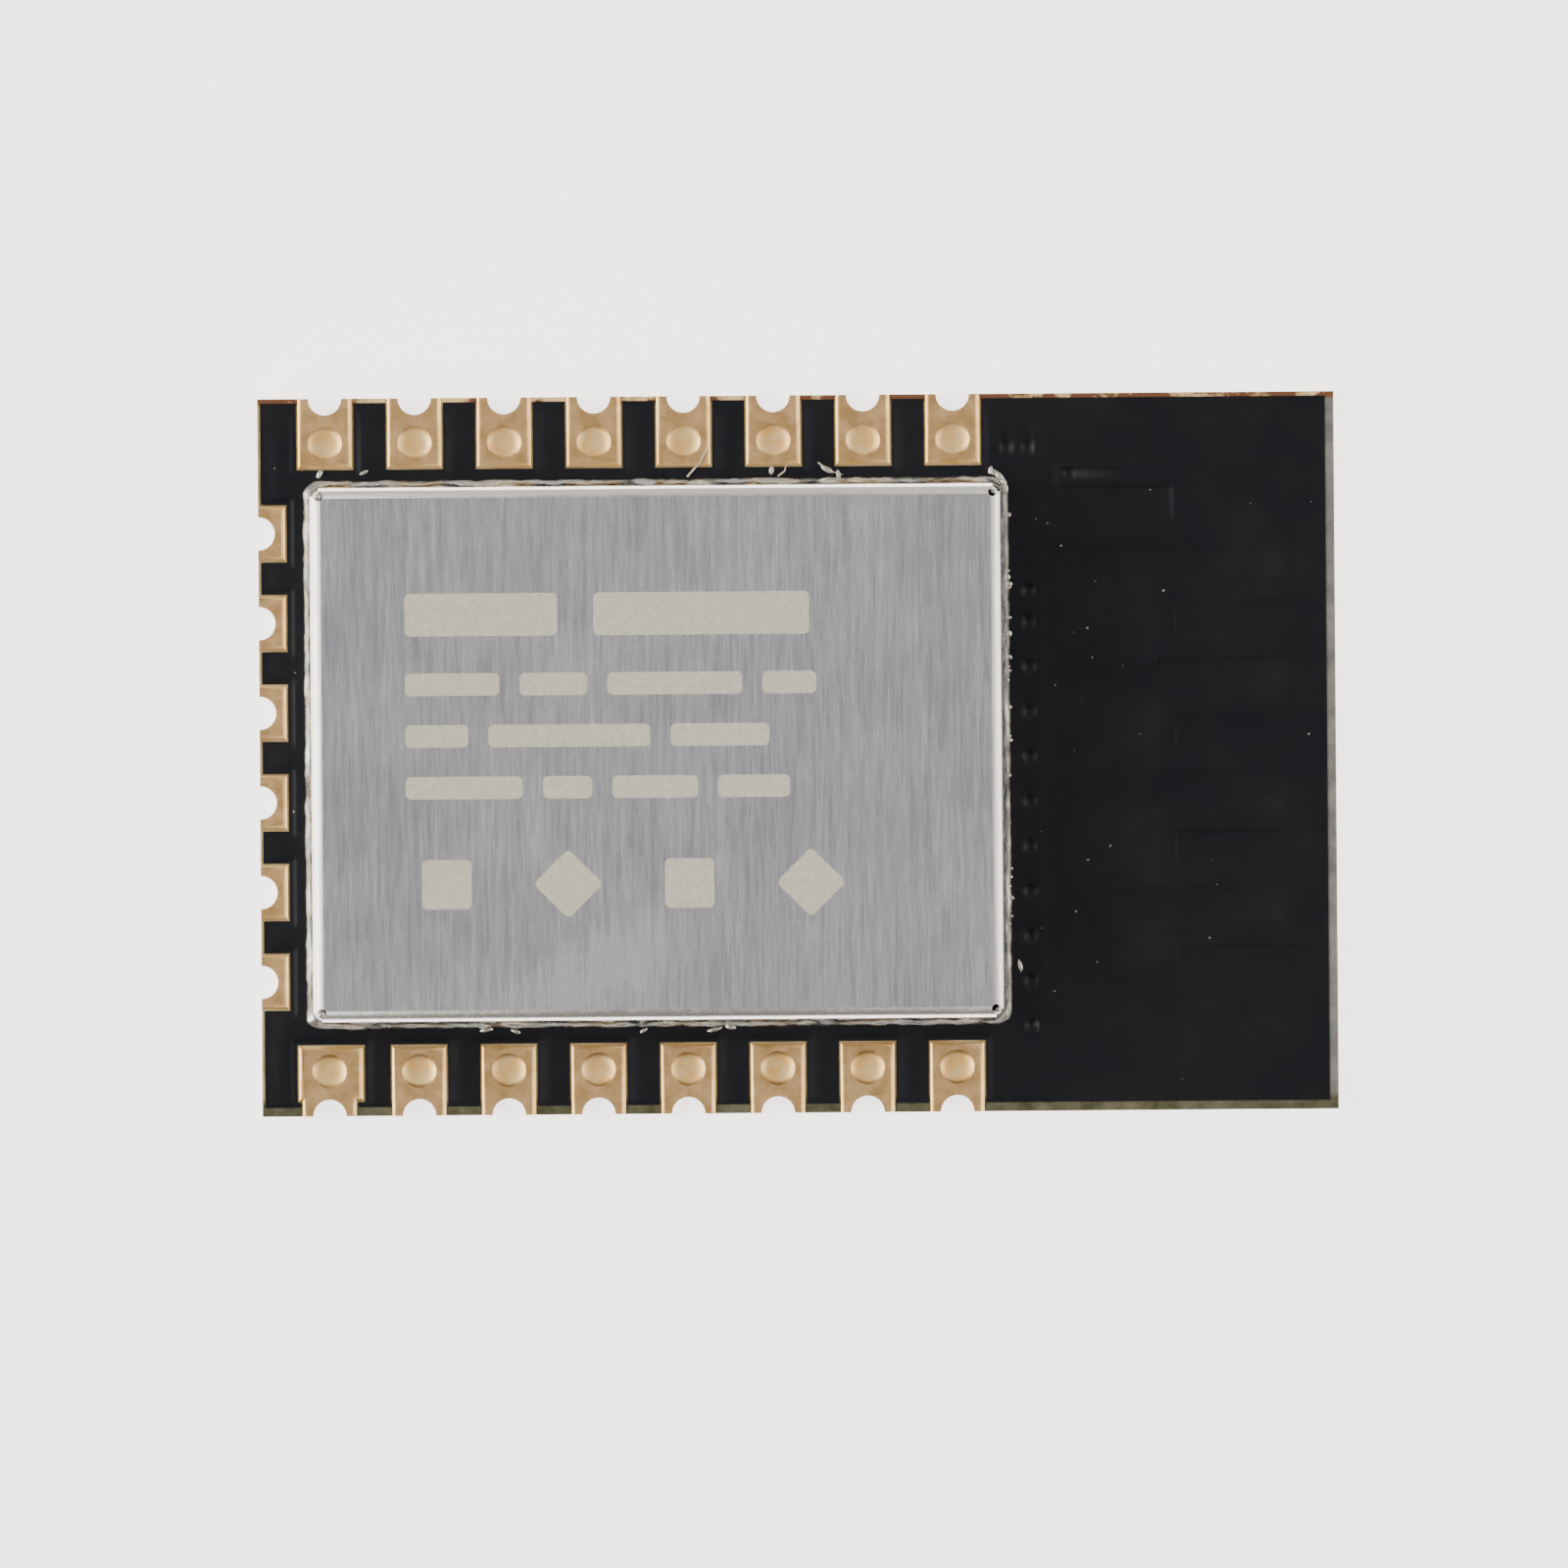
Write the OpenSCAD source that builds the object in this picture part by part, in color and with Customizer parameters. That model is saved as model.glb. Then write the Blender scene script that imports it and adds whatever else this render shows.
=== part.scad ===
// Radio module with castellated edges: a laminate with plated half-hole terminals on
// three edges, a folded shield can over the circuit and a meandered antenna under the
// black solder mask of the free end.
//
// +X points to the antenna end and +Z away from the mounting side. The origin is under
// the middle of the board, on the plane that the bottom lands rest on. Sizes are in mm.

/* [Board] */
// Length of the board, along X
board_l = 24; // [24:0.5:28]
// Width of the board, along Y
board_w = 16; // [16:0.5:18]
// Thickness of the bare laminate
core_t = 0.7; // [0.5:0.05:1.2]
// Height of the whole module, from the bottom lands to the can's top
overall_h = 3.1; // [3.1:0.05:3.6]

/* [Terminals] */
// Terminals along each long side
side_count = 8; // [4:1:8]
// Terminals along the end away from the antenna
end_count = 6; // [2:1:6]
// Distance between neighbouring terminals
pitch = 2; // [1.9:0.05:2]
// Distance from the board's corner to the first terminal of a long side
side_inset = 1.5; // [1.5:0.05:1.6]
// Width of a land
land_w = 1.2; // [1.1:0.05:1.3]
// Length of a land on the long sides
side_land_l = 1.55; // [1.5:0.01:1.57]
// Length of a land on the end
end_land_l = 0.6; // [0.55:0.01:0.65]
// Thickness of the plated copper of a land
land_t = 0.05; // [0.04:0.005:0.06]
// Finished diameter of the half holes in the edges
notch_d = 0.74; // [0.6:0.02:0.8]
// Thickness of the plating inside a half hole
plating_t = 0.05; // [0.03:0.01:0.06]
// Diameter of the dish over each plugged via
dish_d = 0.82; // [0.7:0.02:0.86]
// Distance from the board's edge to the middle of a dish
dish_inset = 1; // [0.96:0.01:1.02]
// Depth of a dish
dish_depth = 0.08; // [0.04:0.01:0.1]
// How much the marked terminal is wider on its outer side
marked_outer = 0.08; // [0:0.01:0.1]
// How much the marked terminal is wider on its inner side
marked_inner = 0.15; // [0:0.01:0.2]

/* [Shield can] */
// Length of the can, along X
can_l = 15.4; // [15:0.1:15.5]
// Width of the can, along Y
can_w = 11.9; // [11.7:0.1:12]
// Distance from the board's end to the can
can_inset = 1.17; // [1.1:0.01:1.3]
// How far the can sits off the board's middle line
can_shift_y = 0.05; // [-0.05:0.01:0.1]
// Thickness of the can's sheet
sheet_t = 0.15; // [0.1:0.01:0.2]
// Inner radius of the can's bends
bend_r = 0.1; // [0.08:0.01:0.2]
// Width of the solder fillet at the can's foot
fillet_w = 0.15; // [0.1:0.01:0.18]
// Height of the solder fillet at the can's foot
fillet_h = 0.35; // [0.2:0.05:0.8]

/* [Antenna] */
// Width of the antenna's track
track_w = 0.5; // [0.3:0.05:0.7]
// Long runs of the meander
run_count = 8; // [4:2:8]
// Distance between neighbouring runs
run_pitch = 1.28; // [1.1:0.02:1.28]
// Distance from the board's long edge to the first run
first_run_inset = 3.1; // [3:0.05:3.3]
// Distance from the board's end to the outer turns
outer_turn_inset = 1; // [0.8:0.05:1.2]
// Length of a run between its two turns
run_l = 2.85; // [2:0.05:3]

/* [Solder mask] */
// Bare strip beside the mask at the end away from the antenna
bare_left = 0.06; // [0.02:0.01:0.2]
// Bare strip beside the mask at the antenna end
bare_right = 0.2; // [0.05:0.01:0.25]
// Bare strip beside the mask along the +Y edge
bare_back = 0.1; // [0.05:0.01:0.2]
// Bare strip beside the mask along the -Y edge
bare_front = 0.2; // [0.05:0.01:0.25]
// Gap between a land and the mask's window
window_gap = 0.04; // [0.02:0.01:0.08]

/* [Radio circuit] */
// Side of the square radio chip
chip_side = 5; // [4.8:0.1:5]
// Height of the radio chip
chip_h = 0.85; // [0.75:0.05:1]
// Length of the flash chip's moulding
flash_l = 4.9; // [4.8:0.05:5]
// Height of the flash chip, from its feet to its top
flash_h = 1.6; // [1.3:0.05:1.75]
// Length of the crystal
crystal_l = 3.2; // [3:0.1:3.2]
// Width of the crystal
crystal_w = 2.5; // [2.3:0.1:2.5]

/* [Hidden] */
$fn = 48;

// Thin layers
foil_t = 0.02;      // copper that the mask covers
mask_t = 0.025;     // solder mask
mask_step = 0.03;   // how far the mask thickens beyond the edge of copper
joint_t = 0.03;     // solder between a land and what stands on it
cut = 0.01;         // how far a cutting solid runs past the face that it cuts
edge_run = 0.5;     // how far a terminal's window runs out past the board's edge

// Heights
core_z = land_t;
core_top = core_z + core_t;
board_t = core_top + land_t;
foil_top = core_top + foil_t;
seat_z = foil_top + joint_t;

// Board edges
left_x = -board_l / 2;
right_x = board_l / 2;

// Terminals
terminal_count = 2 * side_count + end_count;
marked = side_count + end_count + 1;
marked_l = 1.2;                    // length of the marked terminal's wide stretch
notch_r = notch_d / 2;
drill_r = notch_r + plating_t;     // half hole in the laminate, before plating
dish_r = dish_d / 2;
dish_wall = 0.09;                  // width of the sloping wall round a dish's floor

// Can
can_x = left_x + can_inset + can_l / 2;
bend_outer = bend_r + sheet_t;
flat_l = can_l - 2 * bend_outer;
flat_w = can_w - 2 * bend_outer;
wall_run = 0.05;                   // how far a wall runs on past the flat's corner
relief_r = 0.12;                   // corner relief punched in the blank
column_h = 1.3;                    // height of the solder drawn up each corner
inner_fillet_w = 0.12;
inner_fillet_h = 0.2;
fillet_corner_r = 0.3;

// Ground plane
plane_end_x = left_x + 17.5;
plane_inset = 0.3;                 // from the board's edge
plane_gap = 0.2;                   // round a terminal
plane_window_inset = 0.35;         // from the can's inner wall to the parts' clear area
via_r = 0.15;
via_wall = 0.025;
via_x = plane_end_x - 0.33;
via_ys = concat([3.6], [for (i = [0:9]) 2.9 - i]);
via_points = concat([for (y = via_ys) [via_x, y]], [[plane_end_x - 0.8, 6.8], [via_x, 6.8]]);
tent_r = via_r - via_wall;
tent_depth = 0.08;                 // how far the mask dips into a via
dimple_r = 0.17;
dimple_depth = 0.05;

// Antenna
run_top_y = board_w / 2 - first_run_inset;
outer_x = right_x - outer_turn_inset;
inner_x = outer_x - run_l;
feed_x = plane_end_x + 0.6;
tap_x = inner_x + 0.5;
feed_y = 6.2;
feed_pad_r = 0.25;
tail_l = 0.8;
mask_vias = concat(via_points, [[feed_x, feed_y]]);   // every via that the mask covers

// Radio chip
chip_at = [-0.7, -0.6];
chip_leads = 8;                    // on each side
chip_pitch = 0.5;
chip_lead_w = 0.24;
chip_lead_l = 0.4;
chip_lead_t = 0.2;
chip_pad = 3.7;
toe_l = 0.25;                      // how far a land runs out past its lead

// Flash chip
flash_at = [-7, -0.4];
flash_w = 3.9;
flash_span = 6;                    // from toe to toe
flash_leads_per_side = 4;
flash_pitch = 1.27;
flash_lead_w = 0.42;
flash_lead_t = 0.2;
flash_foot_l = 0.6;
flash_standoff = 0.1;
flash_root = 0.5;                  // lead held inside the moulding

// Crystal
crystal_at = [-0.7, 4.1];
crystal_base_h = 0.5;
crystal_lid_h = 0.2;
crystal_lid_inset = 0.15;
crystal_lid_r = 0.35;
crystal_pad = [1.1, 0.9];

// Chip-sized parts: 1.0 x 0.5 mm bodies with a cap on each end, as [x, y, turn]
part_l = 1;
part_w = 0.5;
cap_l = 0.25;
cap_proud = 0.015;
part_land = [0.55, 0.6];
capacitor_h = 0.5;
resistor_h = 0.35;
inductor_h = 0.45;
capacitors = [[2.9, -3.8, 90], [2.9, -2, 90], [2.9, -0.2, 90], [-4, 3.5, 90],
              [-5.4, 3.5, 90], [-0.6, -4.6, 0], [-2.4, -4.6, 0], [1.2, -4.6, 0]];
resistors = [[-4.2, -4.6, 0], [-6, -4.6, 0], [-7.8, -4.6, 0], [-9.2, 3.5, 90]];
inductors = [[2.1, 3.2, 0], [2.1, 4.6, 0], [3.6, 3.9, 90]];
small_parts = concat(capacitors, resistors, inductors);

gold = [0.83, 0.69, 0.45];
copper = [0.72, 0.45, 0.25];
tin = [0.78, 0.78, 0.76];
moulding = [0.13, 0.13, 0.14];
mask_black = [0.1, 0.11, 0.12];

function terminal_name(n) = str("terminal_", n < 10 ? "0" : "", n);

// ---- Places ----

// Terminals are numbered anticlockwise as seen from above, from the antenna end of the
// +Y side. Each place is [x, y, turn]: the middle of the terminal on the board's edge,
// and the turn that points its own +Y into the board.
function side_x(i) = left_x + side_inset + i * pitch;
function end_y(i) = (i - (end_count - 1) / 2) * pitch;
function terminal_place(n) =
    n <= side_count ? [side_x(side_count - n), board_w / 2, 180]
    : n < marked ? [left_x, end_y(marked - 1 - n), -90]
    : [side_x(n - marked), -board_w / 2, 0];
function is_end(n) = n > side_count && n < marked;

module at_terminal(n) {
    place = terminal_place(n);
    translate([place.x, place.y, 0])
        rotate(place.z)
            children();
}

module at_part(place, z) {
    translate([place.x, place.y, z])
        rotate(len(place) > 2 ? place.z : 0)
            children();
}

module at_can() {
    translate([can_x, can_shift_y, 0])
        children();
}

module both_ways() {
    children();
    mirror([1, 0, 0])
        children();
}

module four_ways() {
    both_ways()
        children();
    mirror([0, 1, 0])
        both_ways()
            children();
}

// A layer of a flat outline
module layer(z, t) {
    translate([0, 0, z])
        linear_extrude(t)
            children();
}

module plate(z, t, l, w) {
    translate([-l / 2, -w / 2, z])
        cube([l, w, t]);
}

// ---- Flat outlines ----

// A rectangle with round corners, made of true arcs
module round_rect(l, w, r) {
    difference() {
        square([l, w], center = true);
        four_ways()
            translate([l / 2 - r, w / 2 - r])
                difference() {
                    square(2 * r);
                    circle(r);
                }
    }
}

// A land in its terminal's own frame, grown on its three sides inside the board
module land_outline(n, grow = 0) {
    land_l = is_end(n) ? end_land_l : side_land_l;
    translate([-land_w / 2 - grow, 0])
        square([land_w + 2 * grow, land_l + grow]);
    if (n == marked)
        translate([-land_w / 2 - marked_outer - grow, land_l - marked_l - grow])
            square([land_w + marked_outer + marked_inner + 2 * grow, marked_l + 2 * grow]);
}

module all_lands(grow) {
    for (n = [1:terminal_count])
        at_terminal(n) {
            land_outline(n, grow);
            translate([-land_w / 2 - grow, -edge_run])
                square([land_w + 2 * grow, edge_run]);
        }
}

// The ground plane's copper on either face, before the parts' clear area is taken out
module plane_outline(grow = 0) {
    x0 = left_x + plane_inset - grow;
    y0 = board_w / 2 - plane_inset + grow;
    difference() {
        translate([x0, -y0])
            square([plane_end_x + grow - x0, 2 * y0]);
        all_lands(plane_gap - grow);
    }
}

module parts_window(grow = 0) {
    translate([can_x, can_shift_y])
        square([can_l - 2 * (sheet_t + plane_window_inset) - 2 * grow,
                can_w - 2 * (sheet_t + plane_window_inset) - 2 * grow], center = true);
}

module top_plane_outline(grow = 0) {
    difference() {
        plane_outline(grow);
        parts_window(grow);
    }
}

// One straight stretch of track between two points on a line along X or Y
module track_stretch(a, b, w) {
    size = [abs(b.x - a.x), abs(b.y - a.y)];
    translate([min(a.x, b.x), min(a.y, b.y)] - (size.x > size.y ? [0, w / 2] : [w / 2, 0]))
        square(size.x > size.y ? [size.x, w] : [w, size.y]);
}

module track(points, w) {
    for (i = [1:len(points) - 1])
        track_stretch(points[i - 1], points[i], w);
    for (i = [1:len(points) - 2])
        translate(points[i])
            circle(w / 2);
}

// Points of the meander: each run ends where the next one starts, one pitch lower
function run_end_x(i) = i % 2 == 0 ? outer_x : inner_x;
function run_y(i) = run_top_y - i * run_pitch;
meander = concat(
    [[plane_end_x, run_y(0)]],
    [for (i = [0:run_count - 1], k = [0:1]) [run_end_x(i), run_y(i) - k * run_pitch]]);
last_point = meander[len(meander) - 2];
antenna_points = concat(
    [for (i = [0:len(meander) - 3]) meander[i]],
    [last_point, [last_point.x, last_point.y - tail_l]]);

module antenna_outline(grow = 0) {
    w = track_w + 2 * grow;
    track(antenna_points, w);
    track([[feed_x, feed_y], [tap_x, feed_y], [tap_x, run_y(0)]], w);
    translate([feed_x, feed_y])
        circle(w / 2);
    if (grow > 0)
        translate(antenna_points[len(antenna_points) - 1] - [w / 2, grow])
            square([w, grow]);
}

// The feed comes up through a via, which has a pad of its own on the underside
module feed_pad_outline(grow = 0) {
    translate([feed_x, feed_y])
        circle(feed_pad_r + grow);
}

// All the copper that the mask covers on each face
module top_copper(grow = 0) {
    top_plane_outline(grow);
    antenna_outline(grow);
}

module bottom_copper(grow = 0) {
    plane_outline(grow);
    feed_pad_outline(grow);
}

module mask_outline() {
    translate([left_x + bare_left, -board_w / 2 + bare_front])
        square([board_l - bare_left - bare_right, board_w - bare_front - bare_back]);
}

// The ring that the can's foot is soldered to
module solder_ring_outline() {
    difference() {
        translate([can_x, can_shift_y])
            round_rect(can_l + 2 * fillet_w, can_w + 2 * fillet_w, fillet_corner_r);
        translate([can_x, can_shift_y])
            square([can_l - 2 * (sheet_t + inner_fillet_w), can_w - 2 * (sheet_t + inner_fillet_w)],
                   center = true);
    }
}

// ---- Board ----

module laminate() {
    color([0.72, 0.66, 0.5])
        difference() {
            plate(core_z, core_t, board_l, board_w);
            for (n = [1:terminal_count])
                at_terminal(n) {
                    cylinder(h = 2 * board_t, r = drill_r, center = true);
                    if (!is_end(n))
                        translate([0, dish_inset, 0])
                            cylinder(h = 2 * board_t, r = dish_r, center = true);
                }
            for (p = mask_vias)
                translate(p)
                    cylinder(h = 2 * board_t, r = via_r, center = true);
        }
}

// Both faces of the plane and the barrels that join them are one piece of plated copper
module ground_plane() {
    color(copper)
        difference() {
            union() {
                layer(core_top, foil_t)
                    top_plane_outline();
                layer(core_z - foil_t, foil_t)
                    plane_outline();
                for (p = via_points)
                    translate([p.x, p.y, core_z - foil_t])
                        cylinder(h = core_t + 2 * foil_t, r = via_r);
            }
            for (p = via_points)
                translate(p)
                    cylinder(h = 2 * board_t, r = tent_r, center = true);
        }
}

module antenna() {
    color(copper)
        difference() {
            union() {
                layer(core_top, foil_t)
                    antenna_outline();
                layer(core_z - foil_t, foil_t)
                    feed_pad_outline();
                translate([feed_x, feed_y, core_z - foil_t])
                    cylinder(h = core_t + 2 * foil_t, r = via_r);
            }
            translate([feed_x, feed_y, 0])
                cylinder(h = 2 * board_t, r = tent_r, center = true);
        }
}

// Land, plugged via, half barrel and bottom land are plated as one piece
module terminal(n) {
    color(gold)
        at_terminal(n)
            difference() {
                union() {
                    layer(core_top, land_t)
                        land_outline(n);
                    layer(0, land_t)
                        land_outline(n);
                    cylinder(h = board_t, r = drill_r);
                    if (!is_end(n))
                        translate([0, dish_inset, 0])
                            cylinder(h = board_t, r = dish_r);
                }
                cylinder(h = 3 * board_t, r = notch_r, center = true);
                translate([-land_w, -2 * drill_r, -cut])
                    cube([2 * land_w, 2 * drill_r, board_t + 2 * cut]);
                if (!is_end(n)) {
                    translate([0, dish_inset, board_t - dish_depth])
                        dish();
                    translate([0, dish_inset, dish_depth])
                        mirror([0, 0, 1])
                            dish();
                }
            }
}

// What is cut out over a plugged via: a flat floor and a sloping wall
module dish() {
    slope = dish_wall / dish_depth;
    cylinder(h = dish_depth + cut, r1 = dish_r - dish_wall, r2 = dish_r + slope * cut);
}

// The mask lies over the laminate, steps up over covered copper and dips into the vias.
// It is drawn on a face at z = 0, with the outline of its copper as the first child and
// the same outline, grown by the step, as the second.
module mask_layer() {
    difference() {
        union() {
            layer(0, mask_t)
                mask_outline();
            layer(0, foil_t + mask_t)
                intersection() {
                    mask_outline();
                    children(1);
                }
            tents();
        }
        layer(-cut, foil_t + cut)
            difference() {
                children(0);
                via_holes();
            }
        layer(-cut, 1)
            all_lands(window_gap);
        dimples();
    }
}

module via_holes() {
    for (p = mask_vias)
        translate(p)
            circle(tent_r);
}

module tents() {
    for (p = mask_vias)
        translate([p.x, p.y, foil_t - tent_depth])
            cylinder(h = tent_depth + mask_t, r = tent_r);
}

module dimples() {
    sphere_r = (dimple_r * dimple_r + dimple_depth * dimple_depth) / (2 * dimple_depth);
    for (p = mask_vias)
        translate([p.x, p.y, foil_t + mask_t - dimple_depth + sphere_r])
            sphere(sphere_r);
}

module mask_top() {
    color(mask_black)
        translate([0, 0, core_top])
            difference() {
                mask_layer() {
                    top_copper();
                    top_copper(mask_step);
                }
                layer(-cut, 1) {
                    solder_ring_outline();
                    all_component_lands();
                }
            }
}

module mask_bottom() {
    color(mask_black)
        translate([0, 0, core_z])
            mirror([0, 0, 1])
                mask_layer() {
                    bottom_copper();
                    bottom_copper(mask_step);
                }
}

// ---- Shield can ----

// One bent wall, drawn across the sheet: a quarter bend and the straight wall below it.
// The flat's edge is at y = 0 and the foot at z = 0.
module wall_section(h) {
    difference() {
        union() {
            translate([0, h - bend_outer])
                circle(bend_outer);
            translate([bend_r, 0])
                square([sheet_t, h - bend_outer]);
        }
        translate([0, h - bend_outer])
            circle(bend_r);
        translate([-2 * bend_outer, h - 3 * bend_outer])
            square([2 * bend_outer, 4 * bend_outer]);
        translate([-cut, h - 3 * bend_outer])
            square([bend_r + cut, 2 * bend_outer]);
    }
}

// A wall along X, at the +Y side of the flat
module wall(flat_run, across, h) {
    run = flat_run + 2 * wall_run;
    translate([-run / 2, across / 2, 0])
        rotate([90, 0, 90])
            linear_extrude(run)
                wall_section(h);
}

module shield_can() {
    h = overall_h - seat_z;
    color([0.68, 0.68, 0.68])
        at_can()
            translate([0, 0, seat_z])
                difference() {
                    union() {
                        plate(h - sheet_t, sheet_t, flat_l, flat_w);
                        for (side = [0, 180]) {
                            rotate(side)
                                wall(flat_l, flat_w, h);
                            rotate(side + 90)
                                wall(flat_w, flat_l, h);
                        }
                    }
                    four_ways()
                        translate([flat_l / 2, flat_w / 2, h - bend_outer - relief_r])
                            cylinder(h = 2 * bend_outer, r = relief_r);
                }
}

// The fillet's section, outside a wall whose face is at x = 0
module fillet_section(w, h) {
    polygon([[0, 0], [w, 0], [w, 0.2 * h], [0.3 * w, 0.5 * h], [0, h]]);
}

module fillet_bar(run, across, w, h) {
    translate([-run / 2, across / 2, 0])
        rotate([90, 0, 90])
            linear_extrude(run)
                fillet_section(w, h);
}

// Solder under the can's foot, its fillets inside and out, and a column in each corner
module can_solder() {
    corner_l = can_l + 2 * fillet_w - 2 * fillet_corner_r;
    corner_w = can_w + 2 * fillet_w - 2 * fillet_corner_r;
    inner_l = can_l - 2 * sheet_t;
    inner_w = can_w - 2 * sheet_t;
    color(tin) {
        layer(foil_top, joint_t)
            solder_ring_outline();
        at_can()
            translate([0, 0, seat_z]) {
                difference() {
                    union() {
                        for (side = [0, 180]) {
                            rotate(side)
                                fillet_bar(corner_l, can_w, fillet_w, fillet_h);
                            rotate(side + 90)
                                fillet_bar(corner_w, can_l, fillet_w, fillet_h);
                        }
                        four_ways()
                            translate([corner_l / 2, corner_w / 2, 0])
                                rotate_extrude(angle = 90)
                                    corner_section();
                        four_ways()
                            translate([flat_l / 2 + wall_run, flat_w / 2 + wall_run, 0])
                                linear_extrude(column_h)
                                    column_outline();
                    }
                    plate(-cut, 2 * column_h, inner_l, inner_w);
                    can_walls();
                }
                for (side = [0, 180]) {
                    rotate(side)
                        translate([0, -inner_fillet_w, 0])
                            inner_fillet(inner_l, inner_w);
                    rotate(side + 90)
                        translate([0, -inner_fillet_w, 0])
                            inner_fillet(inner_w - 2 * inner_fillet_w, inner_l);
                }
            }
    }
}

// What turns round each corner: the fillet's section and the solid behind it
module corner_section() {
    translate([fillet_corner_r - fillet_w, 0])
        fillet_section(fillet_w, fillet_h);
    square([fillet_corner_r - fillet_w, fillet_h]);
}

// A quarter-round post that fills the open corner between two walls
module column_outline() {
    side = bend_outer - wall_run;
    r = side / 2;
    square([side - r, side]);
    square([side, side - r]);
    translate([side - r, side - r])
        circle(r);
}

// The four walls' own space, up to the height that solder reaches
module can_walls() {
    for (side = [0, 180]) {
        rotate(side)
            translate([0, flat_w / 2 + bend_r + sheet_t / 2, -cut])
                plate(0, column_h + 2 * cut, flat_l + 2 * wall_run, sheet_t);
        rotate(side + 90)
            translate([0, flat_l / 2 + bend_r + sheet_t / 2, -cut])
                plate(0, column_h + 2 * cut, flat_w + 2 * wall_run, sheet_t);
    }
}

module inner_fillet(run, across) {
    translate([run / 2, across / 2 + inner_fillet_w, 0])
        rotate([90, 0, -90])
            linear_extrude(run)
                polygon([[0, 0], [inner_fillet_w, 0], [0, inner_fillet_h]]);
}

// ---- Parts under the can ----

module chip_lead_places() {
    for (side = [0:3], i = [0:chip_leads - 1])
        rotate(90 * side)
            translate([(i - (chip_leads - 1) / 2) * chip_pitch, chip_side / 2, 0])
                children();
}

module radio_chip_leads() {
    color(tin)
        at_part(chip_at, seat_z)
            chip_metal();
}

module chip_metal() {
    chip_lead_places()
        translate([-chip_lead_w / 2, -chip_lead_l, 0])
            cube([chip_lead_w, chip_lead_l, chip_lead_t]);
    plate(0, chip_lead_t, chip_pad, chip_pad);
}

module radio_chip() {
    color(moulding)
        at_part(chip_at, seat_z)
            difference() {
                plate(0, chip_h, chip_side, chip_side);
                chip_metal();
            }
}

module flash_lead_places() {
    for (side = [0, 180], i = [0:flash_leads_per_side - 1])
        rotate(side)
            translate([flash_w / 2, (i - (flash_leads_per_side - 1) / 2) * flash_pitch, 0])
                children();
}

// A gull-wing lead, drawn from inside the moulding out to the toe
module gull_wing() {
    reach = (flash_span - flash_w) / 2;
    shoulder = reach - flash_foot_l - flash_lead_t / 2;
    mid_z = flash_h / 2;
    t = flash_lead_t;
    translate([0, flash_lead_w / 2, 0])
        rotate([90, 0, 0])
            linear_extrude(flash_lead_w)
                polygon([[-flash_root, mid_z], [shoulder, mid_z], [shoulder + t / 2, t], [reach, t],
                         [reach, 0], [shoulder - t / 2, 0], [shoulder - t, mid_z - t],
                         [-flash_root, mid_z - t]]);
}

module flash_leads() {
    color(tin)
        at_part(flash_at, seat_z)
            flash_lead_places()
                gull_wing();
}

module flash_chip() {
    color(moulding)
        at_part(flash_at, seat_z)
            difference() {
                plate(flash_standoff, flash_h - flash_standoff, flash_w, flash_l);
                flash_lead_places()
                    gull_wing();
            }
}

module crystal_base() {
    color([0.55, 0.45, 0.35])
        at_part(crystal_at, seat_z)
            plate(0, crystal_base_h, crystal_l, crystal_w);
}

module crystal_lid() {
    color(tin)
        at_part(crystal_at, seat_z + crystal_base_h)
            linear_extrude(crystal_lid_h)
                round_rect(crystal_l - 2 * crystal_lid_inset, crystal_w - 2 * crystal_lid_inset,
                           crystal_lid_r);
}

// A two-ended part: a body with a metal cap wrapped round each end
module two_ended(place, h, body_colour) {
    color(body_colour)
        at_part(place, seat_z) {
            plate(cap_proud, h - 2 * cap_proud, part_l - 2 * cap_l, part_w - 2 * cap_proud);
            both_ways()
                translate([part_l / 2 - cap_l, -part_w / 2, 0])
                    cube([cap_l, part_w, h]);
        }
}

module capacitor(n) {
    two_ended(capacitors[n - 1], capacitor_h, [0.62, 0.5, 0.38]);
}

module resistor(n) {
    two_ended(resistors[n - 1], resistor_h, moulding);
}

module inductor(n) {
    two_ended(inductors[n - 1], inductor_h, [0.5, 0.55, 0.6]);
}

// ---- Lands and joints under the can ----

module chip_lands() {
    chip_lead_places()
        translate([-chip_lead_w / 2, -chip_lead_l])
            square([chip_lead_w, chip_lead_l + toe_l]);
    square(chip_pad, center = true);
}

module flash_lands() {
    reach = (flash_span - flash_w) / 2;
    flash_lead_places()
        translate([reach - flash_foot_l - flash_lead_t, -flash_lead_w / 2])
            square([flash_foot_l + flash_lead_t + toe_l, flash_lead_w]);
}

module crystal_lands() {
    four_ways()
        translate([crystal_l / 2 - crystal_pad.x, crystal_w / 2 - crystal_pad.y])
            square(crystal_pad);
}

module two_ended_lands() {
    both_ways()
        translate([part_l / 2 - cap_l, -part_land.y / 2])
            square(part_land);
}

module all_component_lands() {
    translate(chip_at)
        chip_lands();
    translate(flash_at)
        flash_lands();
    translate(crystal_at)
        crystal_lands();
    for (place = small_parts)
        translate([place.x, place.y])
            rotate(place.z)
                two_ended_lands();
}

module component_lands() {
    color(gold)
        layer(core_top, foil_t)
            all_component_lands();
}

// A wedge of solder that climbs a face at x = 0
module toe_wedge(l, w, h) {
    translate([0, w / 2, 0])
        rotate([90, 0, 0])
            linear_extrude(w)
                polygon([[0, 0], [l, 0], [0, h]]);
}

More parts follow.
